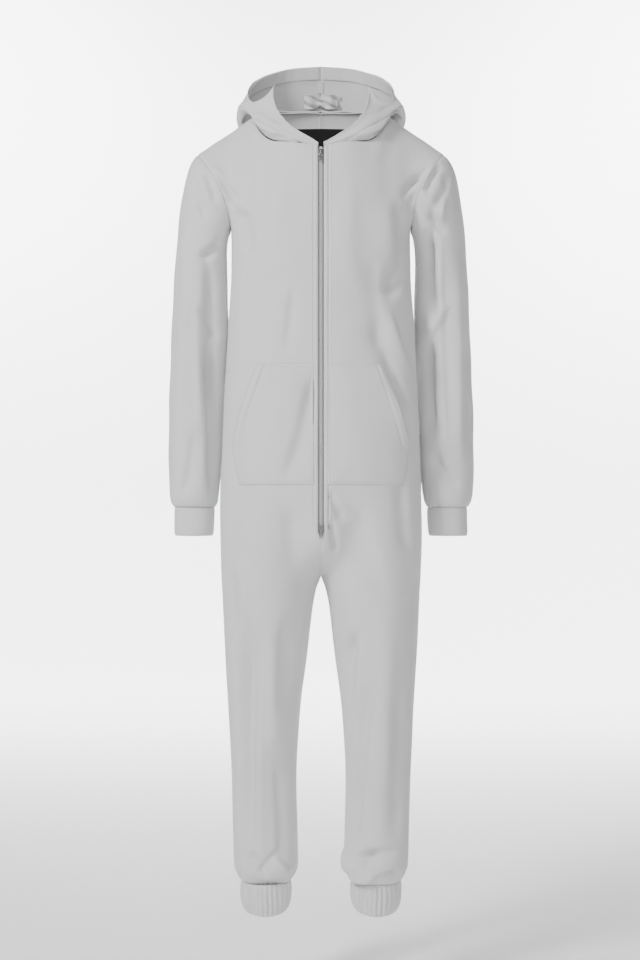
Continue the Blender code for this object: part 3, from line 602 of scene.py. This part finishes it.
def on_front(x, z, side, above):
    """Points on a front at given places, a distance above its cloth."""
    base, normals = panel_base[-1], panel_normals[-1]
    rows = base[:, 0, 2]
    found = np.zeros((*x.shape, 3))
    lean = np.zeros_like(found)
    for i in range(x.shape[0]):
        k = int(np.clip(np.searchsorted(rows, z[i, 0]) - 1, 0, len(rows) - 2))
        share = (z[i, 0] - rows[k]) / (rows[k + 1] - rows[k])
        row, normal = (mix(grid[k], grid[k + 1], share) for grid in (base, normals))
        found[i] = on_path(x[i], row[:, 0], row)
        lean[i] = on_path(x[i], row[:, 0], normal)
    lift = above + body_folds(found, -1, side)
    return found + lean * lift[..., None]


def pocket_points(side):
    """The pocket's grid, lifted above the front by its relief."""
    z = np.linspace(POCKET_FOOT_Z, POCKET_TOP_Z, 80)[:, None]
    mouth_z = (POCKET_FOOT_Z, MOUTH_FOOT[1], POCKET_TOP_Z)
    outer = np.interp(z, mouth_z, (POCKET_FOOT_X, MOUTH_FOOT[0], MOUTH_TOP_X))
    share = np.linspace(0, 1, 58)[None, :]
    x = mix(POCKET_INNER_X, outer, share)
    z = z + 0 * x
    to_top, to_foot, to_inner = POCKET_TOP_Z - z, z - POCKET_FOOT_Z, x - POCKET_INNER_X
    to_side = outer - x
    on_mouth = ease((z - MOUTH_FOOT[1] + 0.004) / 0.008)
    edge = np.minimum(np.minimum(to_top, to_foot), np.minimum(to_inner, to_side))
    sewn = np.minimum(np.minimum(to_top, to_foot), to_inner)
    hem = 0.0010 * ease((MOUTH_HEM - to_side) / 0.0030) * on_mouth
    hem -= 0.0016 * np.exp(-(((to_side - MOUTH_HEM) / 0.0016) ** 2)) * on_mouth
    stitched = 0.0014 * np.exp(-(((sewn - POCKET_STITCH) / 0.0016) ** 2))
    stitched += 0.0010 * np.exp(-(((to_side - POCKET_STITCH) / 0.0016) ** 2)) * (1 - on_mouth)
    rolled = 0.0020 * np.exp(-((edge / 0.0014) ** 2))
    along = np.clip((z - MOUTH_FOOT[1]) / (POCKET_TOP_Z - MOUTH_FOOT[1]), 0, 1)
    gape = 0.0075 * np.sin(along * math.pi) ** 0.7 * np.exp(-((to_side / 0.020) ** 2)) * on_mouth
    full = 0.0030 * ease(edge / 0.05)
    above = LAYER_GAP + POCKET_CLOTH + hem - stitched - rolled + gape + full
    return on_front(x, z, side, above)


for side, hand in HANDS:
    points = pocket_points(side)
    pocket = shell(
        f"pocket_{hand}_cloth",
        on_side(points, side),
        velour,
        thickness=POCKET_CLOTH,
        replaced=[f"pocket_{hand}"],
    )
    rows = (2, -3)
    across = slice(2, -2)
    runs = [points[row, across] for row in rows] + [points[2:-2, 1]]
    side_rows = np.flatnonzero(points[:, -1, 2] < MOUTH_FOOT[1])
    runs += [points[side_rows, -2], at_distance(points[:, ::-1], MOUTH_HEM)[side_rows[-1] + 1 : -1]]
    sew(f"pocket_stitches_{hand}", [(run * (side, 1, 1) + (0, -0.0001, 0), OUT_AHEAD) for run in runs])

# ---------------------------------------------------------------- sleeves
# Each sleeve is one piece of velour, sewn into a tube under the arm and set into the armhole. The
# arm hangs a little away from the body, so the cloth falls in long soft troughs on its inner side.

ARMHOLE_TO = 0.055
SleeveRing = namedtuple("SleeveRing", "down inner_x inner_z outer_x outer_z depth back")
SLEEVE = [
    SleeveRing(0.000, ARMPIT_X, ARMPIT_Z, TIP_X, TIP_Z, ARMHOLE_DEPTH, 0.000),
    SleeveRing(0.022, 0.1755, -0.198, 0.250, -0.062, 0.065, 0.005),
    SleeveRing(0.055, 0.1785, -0.226, 0.2625, -0.104, 0.065, 0.014),
    SleeveRing(0.100, 0.1790, -0.264, 0.2725, -0.168, 0.063, 0.022),
    SleeveRing(0.160, 0.1780, -0.316, 0.2800, -0.250, 0.061, 0.029),
    SleeveRing(0.230, 0.1772, -0.376, 0.2850, -0.340, 0.059, 0.034),
    SleeveRing(0.320, 0.1818, -0.454, 0.2890, -0.444, 0.057, 0.036),
    SleeveRing(0.412, 0.1857, -0.540, 0.2920, -0.540, 0.054, 0.035),
    SleeveRing(0.492, 0.1890, -0.620, 0.2925, -0.620, 0.050, 0.032),
    SleeveRing(0.552, 0.1945, -0.680, 0.2910, -0.680, 0.046, 0.030),
    SleeveRing(0.570, 0.1975, -0.698, 0.2875, -0.698, 0.042, 0.029),
    SleeveRing(0.579, 0.2035, -0.7072, 0.2805, -0.7072, 0.036, 0.029),
]
sleeve = columns_of(SLEEVE)
SLEEVE_FRONT_FOLDS = {
    1: [
        Fold(0.226, -0.066, 0.196, -0.124, 0.003, 0.0055, -0.0045),
        Fold(0.240, -0.078, 0.214, -0.150, -0.003, 0.0070, -0.0045),
        Fold(0.232, -0.092, 0.226, -0.176, 0.003, 0.0065, 0.0030),
        Fold(0.200, -0.150, 0.236, -0.196, 0.003, 0.0070, -0.0050),
        Fold(0.206, -0.180, 0.214, -0.350, 0.009, 0.0140, -0.0125),
        Fold(0.204, -0.385, 0.214, -0.580, 0.009, 0.0140, -0.0130),
        Fold(0.224, -0.200, 0.238, -0.600, 0.004, 0.0060, 0.0022),
        Fold(0.240, -0.320, 0.206, -0.386, 0.004, 0.0110, 0.0035),
        Fold(0.258, -0.235, 0.264, -0.620, 0.002, 0.0120, 0.0045),
        Fold(0.283, -0.360, 0.285, -0.610, 0.001, 0.0070, -0.0035),
        Fold(0.212, -0.600, 0.262, -0.672, 0.006, 0.0100, -0.0035),
    ],
    -1: [
        Fold(0.218, -0.080, 0.198, -0.140, 0.003, 0.0060, -0.0040),
        Fold(0.238, -0.094, 0.214, -0.170, -0.002, 0.0080, -0.0032),
        Fold(0.184, -0.205, 0.232, -0.240, 0.003, 0.0080, -0.0050),
        Fold(0.210, -0.225, 0.212, -0.500, 0.004, 0.0150, -0.0060),
        Fold(0.212, -0.390, 0.206, -0.690, 0.004, 0.0120, -0.0100),
        Fold(0.232, -0.300, 0.228, -0.560, -0.003, 0.0070, 0.0024),
        Fold(0.256, -0.150, 0.266, -0.520, 0.004, 0.0160, 0.0030),
        Fold(0.240, -0.560, 0.262, -0.690, 0.004, 0.0110, -0.0030),
        Fold(0.236, -0.330, 0.192, -0.390, 0.003, 0.0090, -0.0030),
    ],
}
SLEEVE_BACK_FOLDS = {
    1: [
        Fold(0.216, -0.080, 0.200, -0.160, 0.003, 0.0070, -0.0040),
        Fold(0.232, -0.200, 0.206, -0.420, 0.010, 0.0150, -0.0060),
        Fold(0.262, -0.300, 0.216, -0.400, 0.006, 0.0100, -0.0045),
        Fold(0.270, -0.380, 0.212, -0.440, 0.006, 0.0090, -0.0050),
        Fold(0.226, -0.460, 0.236, -0.680, 0.006, 0.0140, -0.0060),
    ],
    -1: [
        Fold(0.220, -0.085, 0.198, -0.150, -0.003, 0.0070, -0.0036),
        Fold(0.226, -0.190, 0.214, -0.390, 0.008, 0.0160, -0.0055),
        Fold(0.266, -0.330, 0.210, -0.400, 0.006, 0.0100, -0.0050),
        Fold(0.256, -0.420, 0.220, -0.680, 0.008, 0.0140, -0.0058),
    ],
}


def sleeve_form(angle, down):
    """The sleeve: angle is 0 under the arm, a quarter turn at the front and a half on top."""
    ring = {name: column(down) for name, column in sleeve.items()}
    v = (1 - np.cos(angle)) / 2
    bow = ARMHOLE_BOW * np.clip(1 - down / ARMHOLE_TO, 0, 1) ** 2
    x = mix(ring["inner_x"], ring["outer_x"], v) - bow * np.sin(angle) ** 2
    y = ring["back"] - ring["depth"] * np.sin(angle)
    return np.stack((x, y, mix(ring["inner_z"], ring["outer_z"], v)), axis=-1)


def ring_normals(points):
    """Outward normals of a tube whose first and last columns are the same line."""
    wide = np.concatenate((points[:, -2:-1], points, points[:, 1:2]), axis=1)
    return outward(wide, 1)[:, 1:-1]


ROUND = np.linspace(0, 2 * math.pi, 81)[None, :]
down = np.linspace(SLEEVE[-1].down, 0.0, 150)[:, None]
sleeve_base = sleeve_form(ROUND, down)
sleeve_normals = ring_normals(sleeve_base)
for side, hand in HANDS:
    x, z = sleeve_base[..., 0], sleeve_base[..., 2]
    front = folds(x, z, SLEEVE_FRONT_FOLDS[side]) * np.clip(np.sin(ROUND), 0, 1) ** 0.6
    behind = folds(x, z, SLEEVE_BACK_FOLDS[side]) * np.clip(-np.sin(ROUND), 0, 1) ** 0.6
    height = front + behind + 0.0010 * np.sin(z * 34 + side) * np.sin(ROUND * 2 + z * 21)
    height += 0.0006 * np.sin(ROUND * 26 + side) * np.exp(-(((down - 0.006) / 0.007) ** 2))
    height += 0.0007 * np.sin(ROUND * 22) * np.exp(-(((SLEEVE[-1].down - down) / 0.012) ** 2))
    height -= 0.0014 * np.exp(-((down / 0.0030) ** 2))
    points = sleeve_base + sleeve_normals * height[..., None]
    tube = shell(
        f"sleeve_{hand}_cloth",
        on_side(points, side),
        velour,
        looped=True,
        replaced=[f"sleeve_{hand}"],
    )

# ---------------------------------------------------------------- cuffs
# The wrists end in plain tubes of the same velour, cut double and sewn to the sleeve; those at the
# ankles hold a wide elastic, so their cloth stands in small upright gathers.

BandRing = namedtuple("BandRing", "z middle_x half_width depth back lean")
WRIST_BAND = [
    BandRing(-0.7075, 0.2420, 0.0385, 0.0360, 0.029, 0.0),
    BandRing(-0.7200, 0.2420, 0.0385, 0.0360, 0.029, 0.0),
    BandRing(-0.7500, 0.2425, 0.0380, 0.0355, 0.028, 0.0),
    BandRing(-0.7620, 0.2430, 0.0365, 0.0340, 0.028, 0.0),
]
ANKLE_BAND = [
    BandRing(-1.4143, 0.1045, 0.0465, 0.0465, 0.0, 0.00),
    BandRing(-1.4260, 0.1045, 0.0480, 0.0480, 0.0, 0.10),
    BandRing(-1.4440, 0.1045, 0.0475, 0.0475, 0.0, 0.22),
    BandRing(-1.4620, 0.1045, 0.0430, 0.0430, 0.0, 0.30),
]
GATHERS = 31
cuff_velour = make_velour("cuff_velour", (0.590, 0.592, 0.595), 0.06, 0.0003, 0.20)


def band_form(table, z, around):
    ring = {name: column(z) for name, column in columns_of(table).items()}
    x = ring["middle_x"] - ring["half_width"] * np.cos(around)
    y = -ring["depth"] * np.sin(around)
    return np.stack((x, ring["back"] + y, z + ring["lean"] * y), axis=-1)


for name, table, flat, columns in (
    ("cuff", WRIST_BAND, (0.235, 0.055), 81),
    ("ankle_cuff", ANKLE_BAND, (0.300, 0.050), 321),
):
    z = np.linspace(table[-1].z, table[0].z, 34)[:, None]
    around = np.linspace(0, 2 * math.pi, columns)[None, :]
    base = band_form(table, z, around)
    normals = ring_normals(base)
    share = (z - table[-1].z) / (table[0].z - table[-1].z)
    seam = 0.0012 * np.exp(-(((1 - share) / 0.05) ** 2)) + 0.0010 * np.exp(-((share / 0.04) ** 2))
    for side, hand in HANDS:
        height = 0.0005 * np.sin(around * 3 + side + z * 60) - seam
        if name == "ankle_cuff":
            phase = around * GATHERS + 0.9 * np.sin(around * 4 + side) + 0.5 * np.sin(z * 130 + around)
            depth = 0.0030 + 0.0012 * np.sin(around * 7 + 2 * side)
            height = height + depth * (np.abs(np.sin(phase / 2)) - 0.6) * np.sin(share * math.pi) ** 0.35
        points = base + normals * height[..., None]
        band = shell(
            f"{name}_{hand}_cloth",
            on_side(points, side),
            cuff_velour,
            looped=True,
            replaced=[f"{name}_{hand}"],
        )

# ---------------------------------------------------------------- hood
# Two shaped halves of velour, sewn together over the head and to the neck. It is down, so it lies
# open round the neck and hangs behind in a soft bag, and its hem facing stands up at the front.

RIM = [
    LinePoint(0.00, 0.0000, -0.1000, -0.0380),
    LinePoint(0.16, 0.0450, -0.0900, -0.0090),
    LinePoint(0.29, 0.0780, -0.0720, 0.0140),
    LinePoint(0.42, 0.1130, -0.0420, 0.0410),
    LinePoint(0.52, 0.1370, -0.0060, 0.0680),
    LinePoint(0.62, 0.1390, 0.0340, 0.0900),
    LinePoint(0.70, 0.1320, 0.0680, 0.1130),
    LinePoint(0.78, 0.1160, 0.0980, 0.1320),
    LinePoint(0.85, 0.0920, 0.1230, 0.1470),
    LinePoint(0.92, 0.0560, 0.1420, 0.1600),
    LinePoint(1.00, 0.0000, 0.1500, 0.1660),
]
Droop = namedtuple("Droop", "turn near_out near_up low_out low_up far_out far_up")
DROOP = [
    Droop(0.00, 0.0003, 0.0006, 0.0006, 0.0021, 0.0003, -0.0013),
    Droop(0.15, 0.0020, 0.0025, 0.0035, 0.0090, 0.0020, -0.0055),
    Droop(0.30, 0.006, 0.009, 0.016, 0.018, 0.013, -0.010),
    Droop(0.42, 0.004, 0.013, 0.015, 0.022, 0.012, -0.009),
    Droop(0.50, 0.007, 0.009, 0.019, 0.008, 0.016, -0.011),
    Droop(0.60, 0.014, 0.001, 0.034, -0.020, 0.024, -0.036),
    Droop(0.75, 0.016, 0.000, 0.042, -0.080, 0.038, -0.105),
    Droop(0.88, 0.017, -0.001, 0.045, -0.125, 0.043, -0.145),
    Droop(1.00, 0.018, -0.002, 0.045, -0.140, 0.045, -0.160),
]
DROOP_SHARES = (0.0, 0.12, 0.42, 0.74, 1.0)
RIM_BAND, SHORT_RIM = 0.025, 0.5
FLAP_TIP = np.array((0.0880, -0.0300, 0.0920))
HOOD_FOLDS = {
    1: [
        Fold(0.300, 0.10, 0.480, 0.62, 0.03, 0.030, -0.0030),
        Fold(0.520, 0.08, 0.640, 0.60, -0.03, 0.030, -0.0045),
        Fold(0.620, 0.18, 1.000, 0.34, 0.05, 0.045, -0.0060),
        Fold(0.700, 0.46, 1.000, 0.50, 0.04, 0.040, 0.0040),
        Fold(0.760, 0.62, 0.960, 0.74, -0.04, 0.035, -0.0050),
        Fold(0.840, 0.10, 0.820, 0.50, 0.02, 0.022, -0.0035),
    ],
    -1: [
        Fold(0.330, 0.08, 0.500, 0.55, -0.03, 0.026, -0.0034),
        Fold(0.560, 0.10, 0.620, 0.70, 0.03, 0.032, -0.0040),
        Fold(0.660, 0.22, 1.000, 0.30, 0.05, 0.050, -0.0055),
        Fold(0.720, 0.52, 0.980, 0.44, 0.03, 0.035, 0.0035),
        Fold(0.800, 0.70, 0.980, 0.78, -0.03, 0.030, -0.0045),
        Fold(0.900, 0.08, 0.860, 0.56, 0.02, 0.020, -0.0035),
    ],
}
rim, droop = columns_of(RIM), columns_of(DROOP)


def hood_form(turn, v):
    """The lowered hood: one turn for each column, v from 0 on the neck seam to 1 on the edge."""
    found = np.zeros((*np.broadcast(turn, v).shape, 3))
    v = np.broadcast_to(v, found.shape[:2])
    for j, at in enumerate(np.ravel(turn)):
        low = np.array([neck[name](at) for name in ("side", "back", "height")])
        high = np.array([rim[name](at) for name in ("side", "back", "height")])
        out = np.array((math.sin(at * math.pi), -math.cos(at * math.pi), 0))
        d = {name: column(at) for name, column in droop.items()}
        up = np.array((0, 0, 1))
        path = np.array(
            [
                low,
                low + out * d["near_out"] + up * d["near_up"],
                low + out * d["low_out"] + up * d["low_up"],
                high + out * d["far_out"] + up * d["far_up"],
                high,
            ]
        )
        for axis in range(3):
            found[:, j, axis] = through(DROOP_SHARES, path[:, axis])(v[:, j])
    found[..., 0] = np.maximum(found[..., 0], SEAM / 2)
    return found


first_turn = NECK[1].turn * ZIP_EDGE / NECK[1].side
turn = np.linspace(first_turn, 1, 110)[None, :]
v = np.linspace(0, 1, 90)[:, None]
hood_base = hood_form(turn, v)
hood_base[0, :, 2] += SEAM
hood_normals = outward(hood_base, 1)
rise = np.linalg.norm(np.diff(hood_base, axis=0), axis=-1)
from_neck = np.concatenate((np.zeros((1, rise.shape[1])), np.cumsum(rise, axis=0)))
to_rim = from_neck[-1:] - from_neck
for side, hand in HANDS:
    height = folds(turn + 0 * v, v + 0 * turn, HOOD_FOLDS[side])
    height *= ease(v / 0.12) * ease((1 - v) / 0.15)
    height += 0.0008 * np.sin(turn * 40 + side) * np.sin(v * 13 + turn * 9)
    height -= 0.0014 * np.exp(-((from_neck / 0.003) ** 2))
    height += 0.0018 * np.exp(-((to_rim / 0.003) ** 2))
    height -= 0.0020 * np.exp(-(((to_rim - 0.022) / 0.0020) ** 2))
    _, to_seam = from_edges(hood_base)
    height -= 0.0014 * np.exp(-((to_seam / 0.0032) ** 2))
    points = hood_base + hood_normals * height[..., None]
    half = shell(
        f"hood_{hand}_cloth", on_side(points, side), velour, replaced=[f"hood_{hand}"]
    )

# The hem facing inside the hood's edge is a strip of the same velour. At the front it is folded
# over and its corner stands up on each side of the neck.

band_deep = np.minimum(RIM_BAND, SHORT_RIM * from_neck[-1])
band_share = np.array([[np.interp(d, c[::-1], 1 - v[::-1, 0]) for d, c in zip(band_deep, to_rim.T)]])
HEM_STITCH_DEEP = 0.0013
back = np.linspace(1, 0, 22)[:, None]
pull = np.interp(turn, (0.125, 0.25, 0.375, 0.5), (0, 0.5, 1, 0))
strip = hood_form(turn, 1 - band_share * back)
strip_normals = outward(strip, 1)
free_edge = mix(strip[:1], FLAP_TIP, pull[..., None])
strip = strip + (free_edge - strip[:1]) * back[..., None]
for side, hand in HANDS:
    sag = -0.0030 * np.sin(back * math.pi) * pull * (1 + 0.3 * side)
    inner = -CLOTH - 0.0008 + sag
    inner = inner + 0.0005 * np.sin(turn * 180 + side * 2) * (1 - pull) * np.sin(back * math.pi)
    points = strip + strip_normals * inner[..., None]
    shell_piece = shell(
        f"hood_band_{hand}_cloth",
        on_side(points, side),
        velour,
        thickness=0.0012,
        replaced=[f"hood_band_{hand}"],
    )
    seam_row = (strip + strip_normals * (inner - HEM_STITCH_DEEP)[..., None])[2]
    sew(f"hood_stitches_{hand}", [(seam_row * (side, 1, 1), (0, 0, 1))])

# ---------------------------------------------------------------- painted shade inside the neck, loop and seam tape
# Inside the back of the neck lies a near-black sheet: painted shade for the dark inside of the back.
# Above it the hood's seam is covered with a narrow tape, which ends in a blank crumpled loop of ribbon
# to hang the garment by.

SHADE_SHEET_GAP = 0.0026


# The near-black colour of this sheet is painted shade for the dark inside of the back below the neck,
# not a cloth of its own.
shade_black = make_velour("painted_shade_black", (0.012, 0.012, 0.013), 0.5, 0.0003, 0.0)
half_t = np.linspace(0, 3 / 8, 24)
t, angle = np.meshgrid(half_t, np.linspace(2, 5.45, 34) * math.pi / 7)
lower_edge = (t / half_t[-1]) ** 2 * 0.55
angle = mix(angle, angle[-1:], lower_edge)
shade_sheet = shoulder_form(t, angle, 1)
shade_sheet = shade_sheet + outward(shade_sheet, -1) * (-CLOTH - SHADE_SHEET_GAP)
shade_sheet[:, 0, 0] = 0
shade_sheet = np.concatenate(((shade_sheet * (-1, 1, 1))[:, :0:-1], shade_sheet), axis=1)
shell_piece = shell(
    "neck_facing_cloth",
    shade_sheet[:, ::-1],
    shade_black,
    thickness=0.0012,
    replaced=["neck_facing"],
)

LOOP_HALF, LOOP_HIGH = 0.0335, 0.030
centre = hood_form(np.array([[1.0]]), np.linspace(0.4, 1, 121)[:, None])[:, 0]
run = np.concatenate(([0], np.cumsum(np.linalg.norm(np.diff(centre, axis=0), axis=1))))
tangent = np.gradient(centre, axis=0)
tangent /= np.linalg.norm(tangent, axis=1, keepdims=True)
inward = np.cross(tangent, (1, 0, 0)) * -1


def inside_hood(across, up_from_rim, lift):
    """Points on the inner face of the hood near its centre seam, by the way down from its edge."""
    spot = run[-1] - up_from_rim
    place, lean = on_path(spot, run, centre), on_path(spot, run, inward)
    curved = across**2 / 0.30
    place = place + lean * (CLOTH + lift + curved)[..., None]
    place[..., 0] = across
    return place


across = np.linspace(-0.0055, 0.0055, 7)[None, :]
way = np.linspace(0.052, 0.006, 30)[:, None]
tape_points = inside_hood(across + 0 * way, way + 0 * across, 0.0009 + 0 * way + 0 * across)
seam_tape = shell("hood_seam_tape", tape_points[:, ::-1], velour, thickness=0.0006)

share = np.linspace(-1, 1, 61)[None, :]
high = np.linspace(0, 1, 26)[:, None]
pinch = 1 - 0.38 * np.exp(-((share / 0.22) ** 2))
way = 0.052 + LOOP_HIGH * (0.5 + (0.5 - high) * pinch)
crumple = 0.0030 * np.sin(share * 9 + high * 4) * np.sin(high * math.pi) + 0.0022 * np.sin(
    high * 11 + share * 5
)
lift = 0.0065 + crumple + 0.005 * np.exp(-(((np.abs(share) - 0.5) / 0.25) ** 2))
loop_points = inside_hood(share * LOOP_HALF + 0 * high, way + 0 * share, lift)
loop = shell(
    "hood_loop_cloth",
    loop_points[:, ::-1],
    velour,
    thickness=0.0008,
    replaced=["hood_patch"],
)

# ---------------------------------------------------------------- zip
# A two-way coil zip: a woven tape behind each placket, its teeth meeting in the middle, and a metal
# slider at each end, the lower one upside down. Both hang a flat metal tab.

TAPE_DROP, TAPE_HALF, TAPE_THICK = 0.0026, 0.0150, 0.0008
TOOTH_PITCH = 0.0022


def make_hard_material(name, dark, light, roughness, metallic):
    """Plastic or metal with a faintly uneven tone, worn smoother in places."""
    made = bpy.data.materials.new(name)
    made.use_nodes = True
    nodes, links = made.node_tree.nodes, made.node_tree.links
    shader = nodes["Principled BSDF"]
    place = nodes.new("ShaderNodeTexCoord")
    noise = nodes.new("ShaderNodeTexNoise")
    noise.inputs["Scale"].default_value = 320
    links.new(place.outputs["Object"], noise.inputs["Vector"])
    tone = nodes.new("ShaderNodeMix")
    tone.data_type = "RGBA"
    tone.inputs["A"].default_value = (*dark, 1)
    tone.inputs["B"].default_value = (*light, 1)
    links.new(noise.outputs["Fac"], tone.inputs["Factor"])
    links.new(tone.outputs["Result"], shader.inputs["Base Color"])
    wear = nodes.new("ShaderNodeMapRange")
    wear.inputs["To Min"].default_value = roughness * 0.75
    wear.inputs["To Max"].default_value = roughness * 1.25
    links.new(noise.outputs["Fac"], wear.inputs["Value"])
    links.new(wear.outputs["Result"], shader.inputs["Roughness"])
    shader.inputs["Metallic"].default_value = metallic
    return made


tape_cloth = make_woven("zip_tape", 420, (0.22, 0.22, 0.23), (0.31, 0.31, 0.32), 0.8, 0.0002)
teeth_finish = make_hard_material("zip_teeth", (0.62, 0.62, 0.63), (0.76, 0.76, 0.77), 0.35, 0.2)
steel = make_hard_material("steel", (0.24, 0.24, 0.25), (0.38, 0.38, 0.39), 0.3, 1.0)

zip_rows = panel_base[-1][:, 0, 2] >= ZIP_END_Z
edge = panel_base[-1][zip_rows]
zip_line = edge[:, 0] * (0, 1, 1)
for side, hand in HANDS:
    x = np.array((SEAM / 2, 0.0020, 0.0040, ZIP_EDGE, 0.0085, 0.0115, TAPE_HALF))
    lean = panel_normals[-1][zip_rows][:, :1]
    points = np.array([on_path(x, row[:, 0], row) for row in edge])
    points[..., 0] = x
    points = points - lean * TAPE_DROP
    tape = shell(
        f"zip_tape_{hand}_cloth",
        on_side(points, side),
        tape_cloth,
        thickness=TAPE_THICK,
        replaced=[f"zip_tape_{hand}"],
    )

teeth = bmesh.new()
tooth = Matrix.Diagonal((0.0009, 0.0030, 0.0016, 1))
for k, (place, along) in enumerate(zip(*evenly(zip_line, TOOTH_PITCH / 2))):
    spot = frame_at(place, along, OUT_AHEAD) @ Matrix.Translation(
        ((0, 0.0012 * (1 if k % 2 else -1), -TAPE_DROP + 0.0012))
    )
    bmesh.ops.create_cube(teeth, size=1, matrix=spot @ tooth)
bmesh.ops.bevel(
    teeth,
    geom=teeth.edges[:],
    offset=0.0002,
    segments=1,
    profile=0.5,
    affect="EDGES",
    material=-1,
)
finish_mesh("zip_teeth_row", teeth, teeth_finish, replaced=["zip_chain"])


def rounded_copy(node, name, rides, radius, tail):
    """A metal casting on its plain form: its edges rounded and its tail end drawn in."""
    made = bmesh.new()
    made.from_mesh(bpy.data.objects[node].data)
    bmesh.ops.remove_doubles(made, verts=made.verts, dist=1e-6)
    bmesh.ops.dissolve_limit(
        made, angle_limit=math.radians(1), verts=made.verts, edges=made.edges
    )
    sharp = [e for e in made.edges if len(e.link_faces) == 2 and e.calc_face_angle() > 0.5]
    bmesh.ops.bevel(
        made,
        geom=sharp,
        offset=radius,
        segments=3,
        profile=0.5,
        affect="EDGES",
        material=-1,
        clamp_overlap=True,
    )
    low, high = (np.array(corner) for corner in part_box(node))
    for vert in made.verts:
        share = (vert.co.z - low[2]) / (high[2] - low[2])
        vert.co.x *= 1 - tail * (1 - share if tail > 0 else -share)
    bmesh.ops.recalc_face_normals(made, faces=made.faces)
    piece = finish_mesh(name, made, steel, rides=rides, replaced=[node])
    piece.data.set_sharp_from_angle(angle=math.radians(40))
    return piece


rounded_copy("slider_top", "slider_top_casting", "garment", 0.0004, 0.22)
rounded_copy("slider_foot", "slider_foot_casting", "garment", 0.0004, -0.22)
rounded_copy("pull_top", "pull_top_tab", "pull_top", 0.00025, 0.0)
rounded_copy("pull_foot", "pull_foot_tab", "pull_foot", 0.00025, 0.0)

# ---------------------------------------------------------------- studio
# The garment hangs as it is worn, in front of a plain white sweep under soft light from the left.

FLOOR_Z, FLOOR_FROM_Y, FLOOR_TO_Y = -1.62, -4.0, 4.6
CORNER_RADIUS, WALL_RISE, HALF_WIDTH = 1.0, 20, 5
sweep = bmesh.new()
bmesh.ops.create_grid(sweep, x_segments=1, y_segments=40, size=1)
for vert in sweep.verts:
    s = (vert.co.y + 1) / 2
    turn_up = np.clip((s - 0.5) / 0.3, 0, 1) * math.pi / 2
    y = mix(FLOOR_FROM_Y, FLOOR_TO_Y, min(s, 0.5) * 2) + math.sin(turn_up) * CORNER_RADIUS
    z = FLOOR_Z + (1 - math.cos(turn_up)) * CORNER_RADIUS + max(s - 0.8, 0) * WALL_RISE
    vert.co = (vert.co.x * HALF_WIDTH, y, z)
sweep_mesh = bpy.data.meshes.new("studio_sweep")
sweep.to_mesh(sweep_mesh)
sweep.free()
sweep_mesh.shade_smooth()
backdrop = bpy.data.objects.new("studio_sweep", sweep_mesh)
bpy.context.scene.collection.objects.link(backdrop)
paper = bpy.data.materials.new("studio_paper")
paper.use_nodes = True
paper.node_tree.nodes["Principled BSDF"].inputs["Base Color"].default_value = (0.92, 0.92, 0.92, 1)
paper.node_tree.nodes["Principled BSDF"].inputs["Roughness"].default_value = 1.0
sweep_mesh.materials.append(paper)

world = bpy.data.worlds.new("studio")
world.use_nodes = True
world.node_tree.nodes["Background"].inputs["Color"].default_value = (1, 1, 1, 1)
world.node_tree.nodes["Background"].inputs["Strength"].default_value = 0.30
bpy.context.scene.world = world
for name, place, aim, size, power in (
    ("key", (-2.4, -2.3, 1.6), (0, 0, -0.7), 0.8, 160),
    ("front", (0.3, -4.0, 0.6), (0, 0, -0.8), 1.2, 68),
    ("fill", (2.6, -2.2, 0.0), (0, 0, -0.8), 2.0, 12),
    ("paper_left", (-2.2, 3.8, 1.4), (-0.9, 6.0, -0.6), 2.4, 405),
    ("paper_right", (2.2, 3.8, 1.4), (0.9, 6.0, -0.6), 2.4, 428),
):
    lamp = bpy.data.lights.new(name, "AREA")
    lamp.size = size
    lamp.energy = power
    lit = bpy.data.objects.new(name, lamp)
    lit.location = place
    lit.rotation_euler = (Vector(aim) - Vector(place)).to_track_quat("-Z", "Y").to_euler()
    bpy.context.scene.collection.objects.link(lit)

MIDDLE_Z, CAMERA_BACK = -0.6555, 3.2
lens = bpy.data.cameras.new("camera")
lens.sensor_width = 36
lens.lens = 63.2
camera = bpy.data.objects.new("camera", lens)
camera.location = (-0.0019, -CAMERA_BACK, MIDDLE_Z)
camera.rotation_euler = (math.pi / 2, 0, 0)
bpy.context.scene.collection.objects.link(camera)
bpy.context.scene.camera = camera
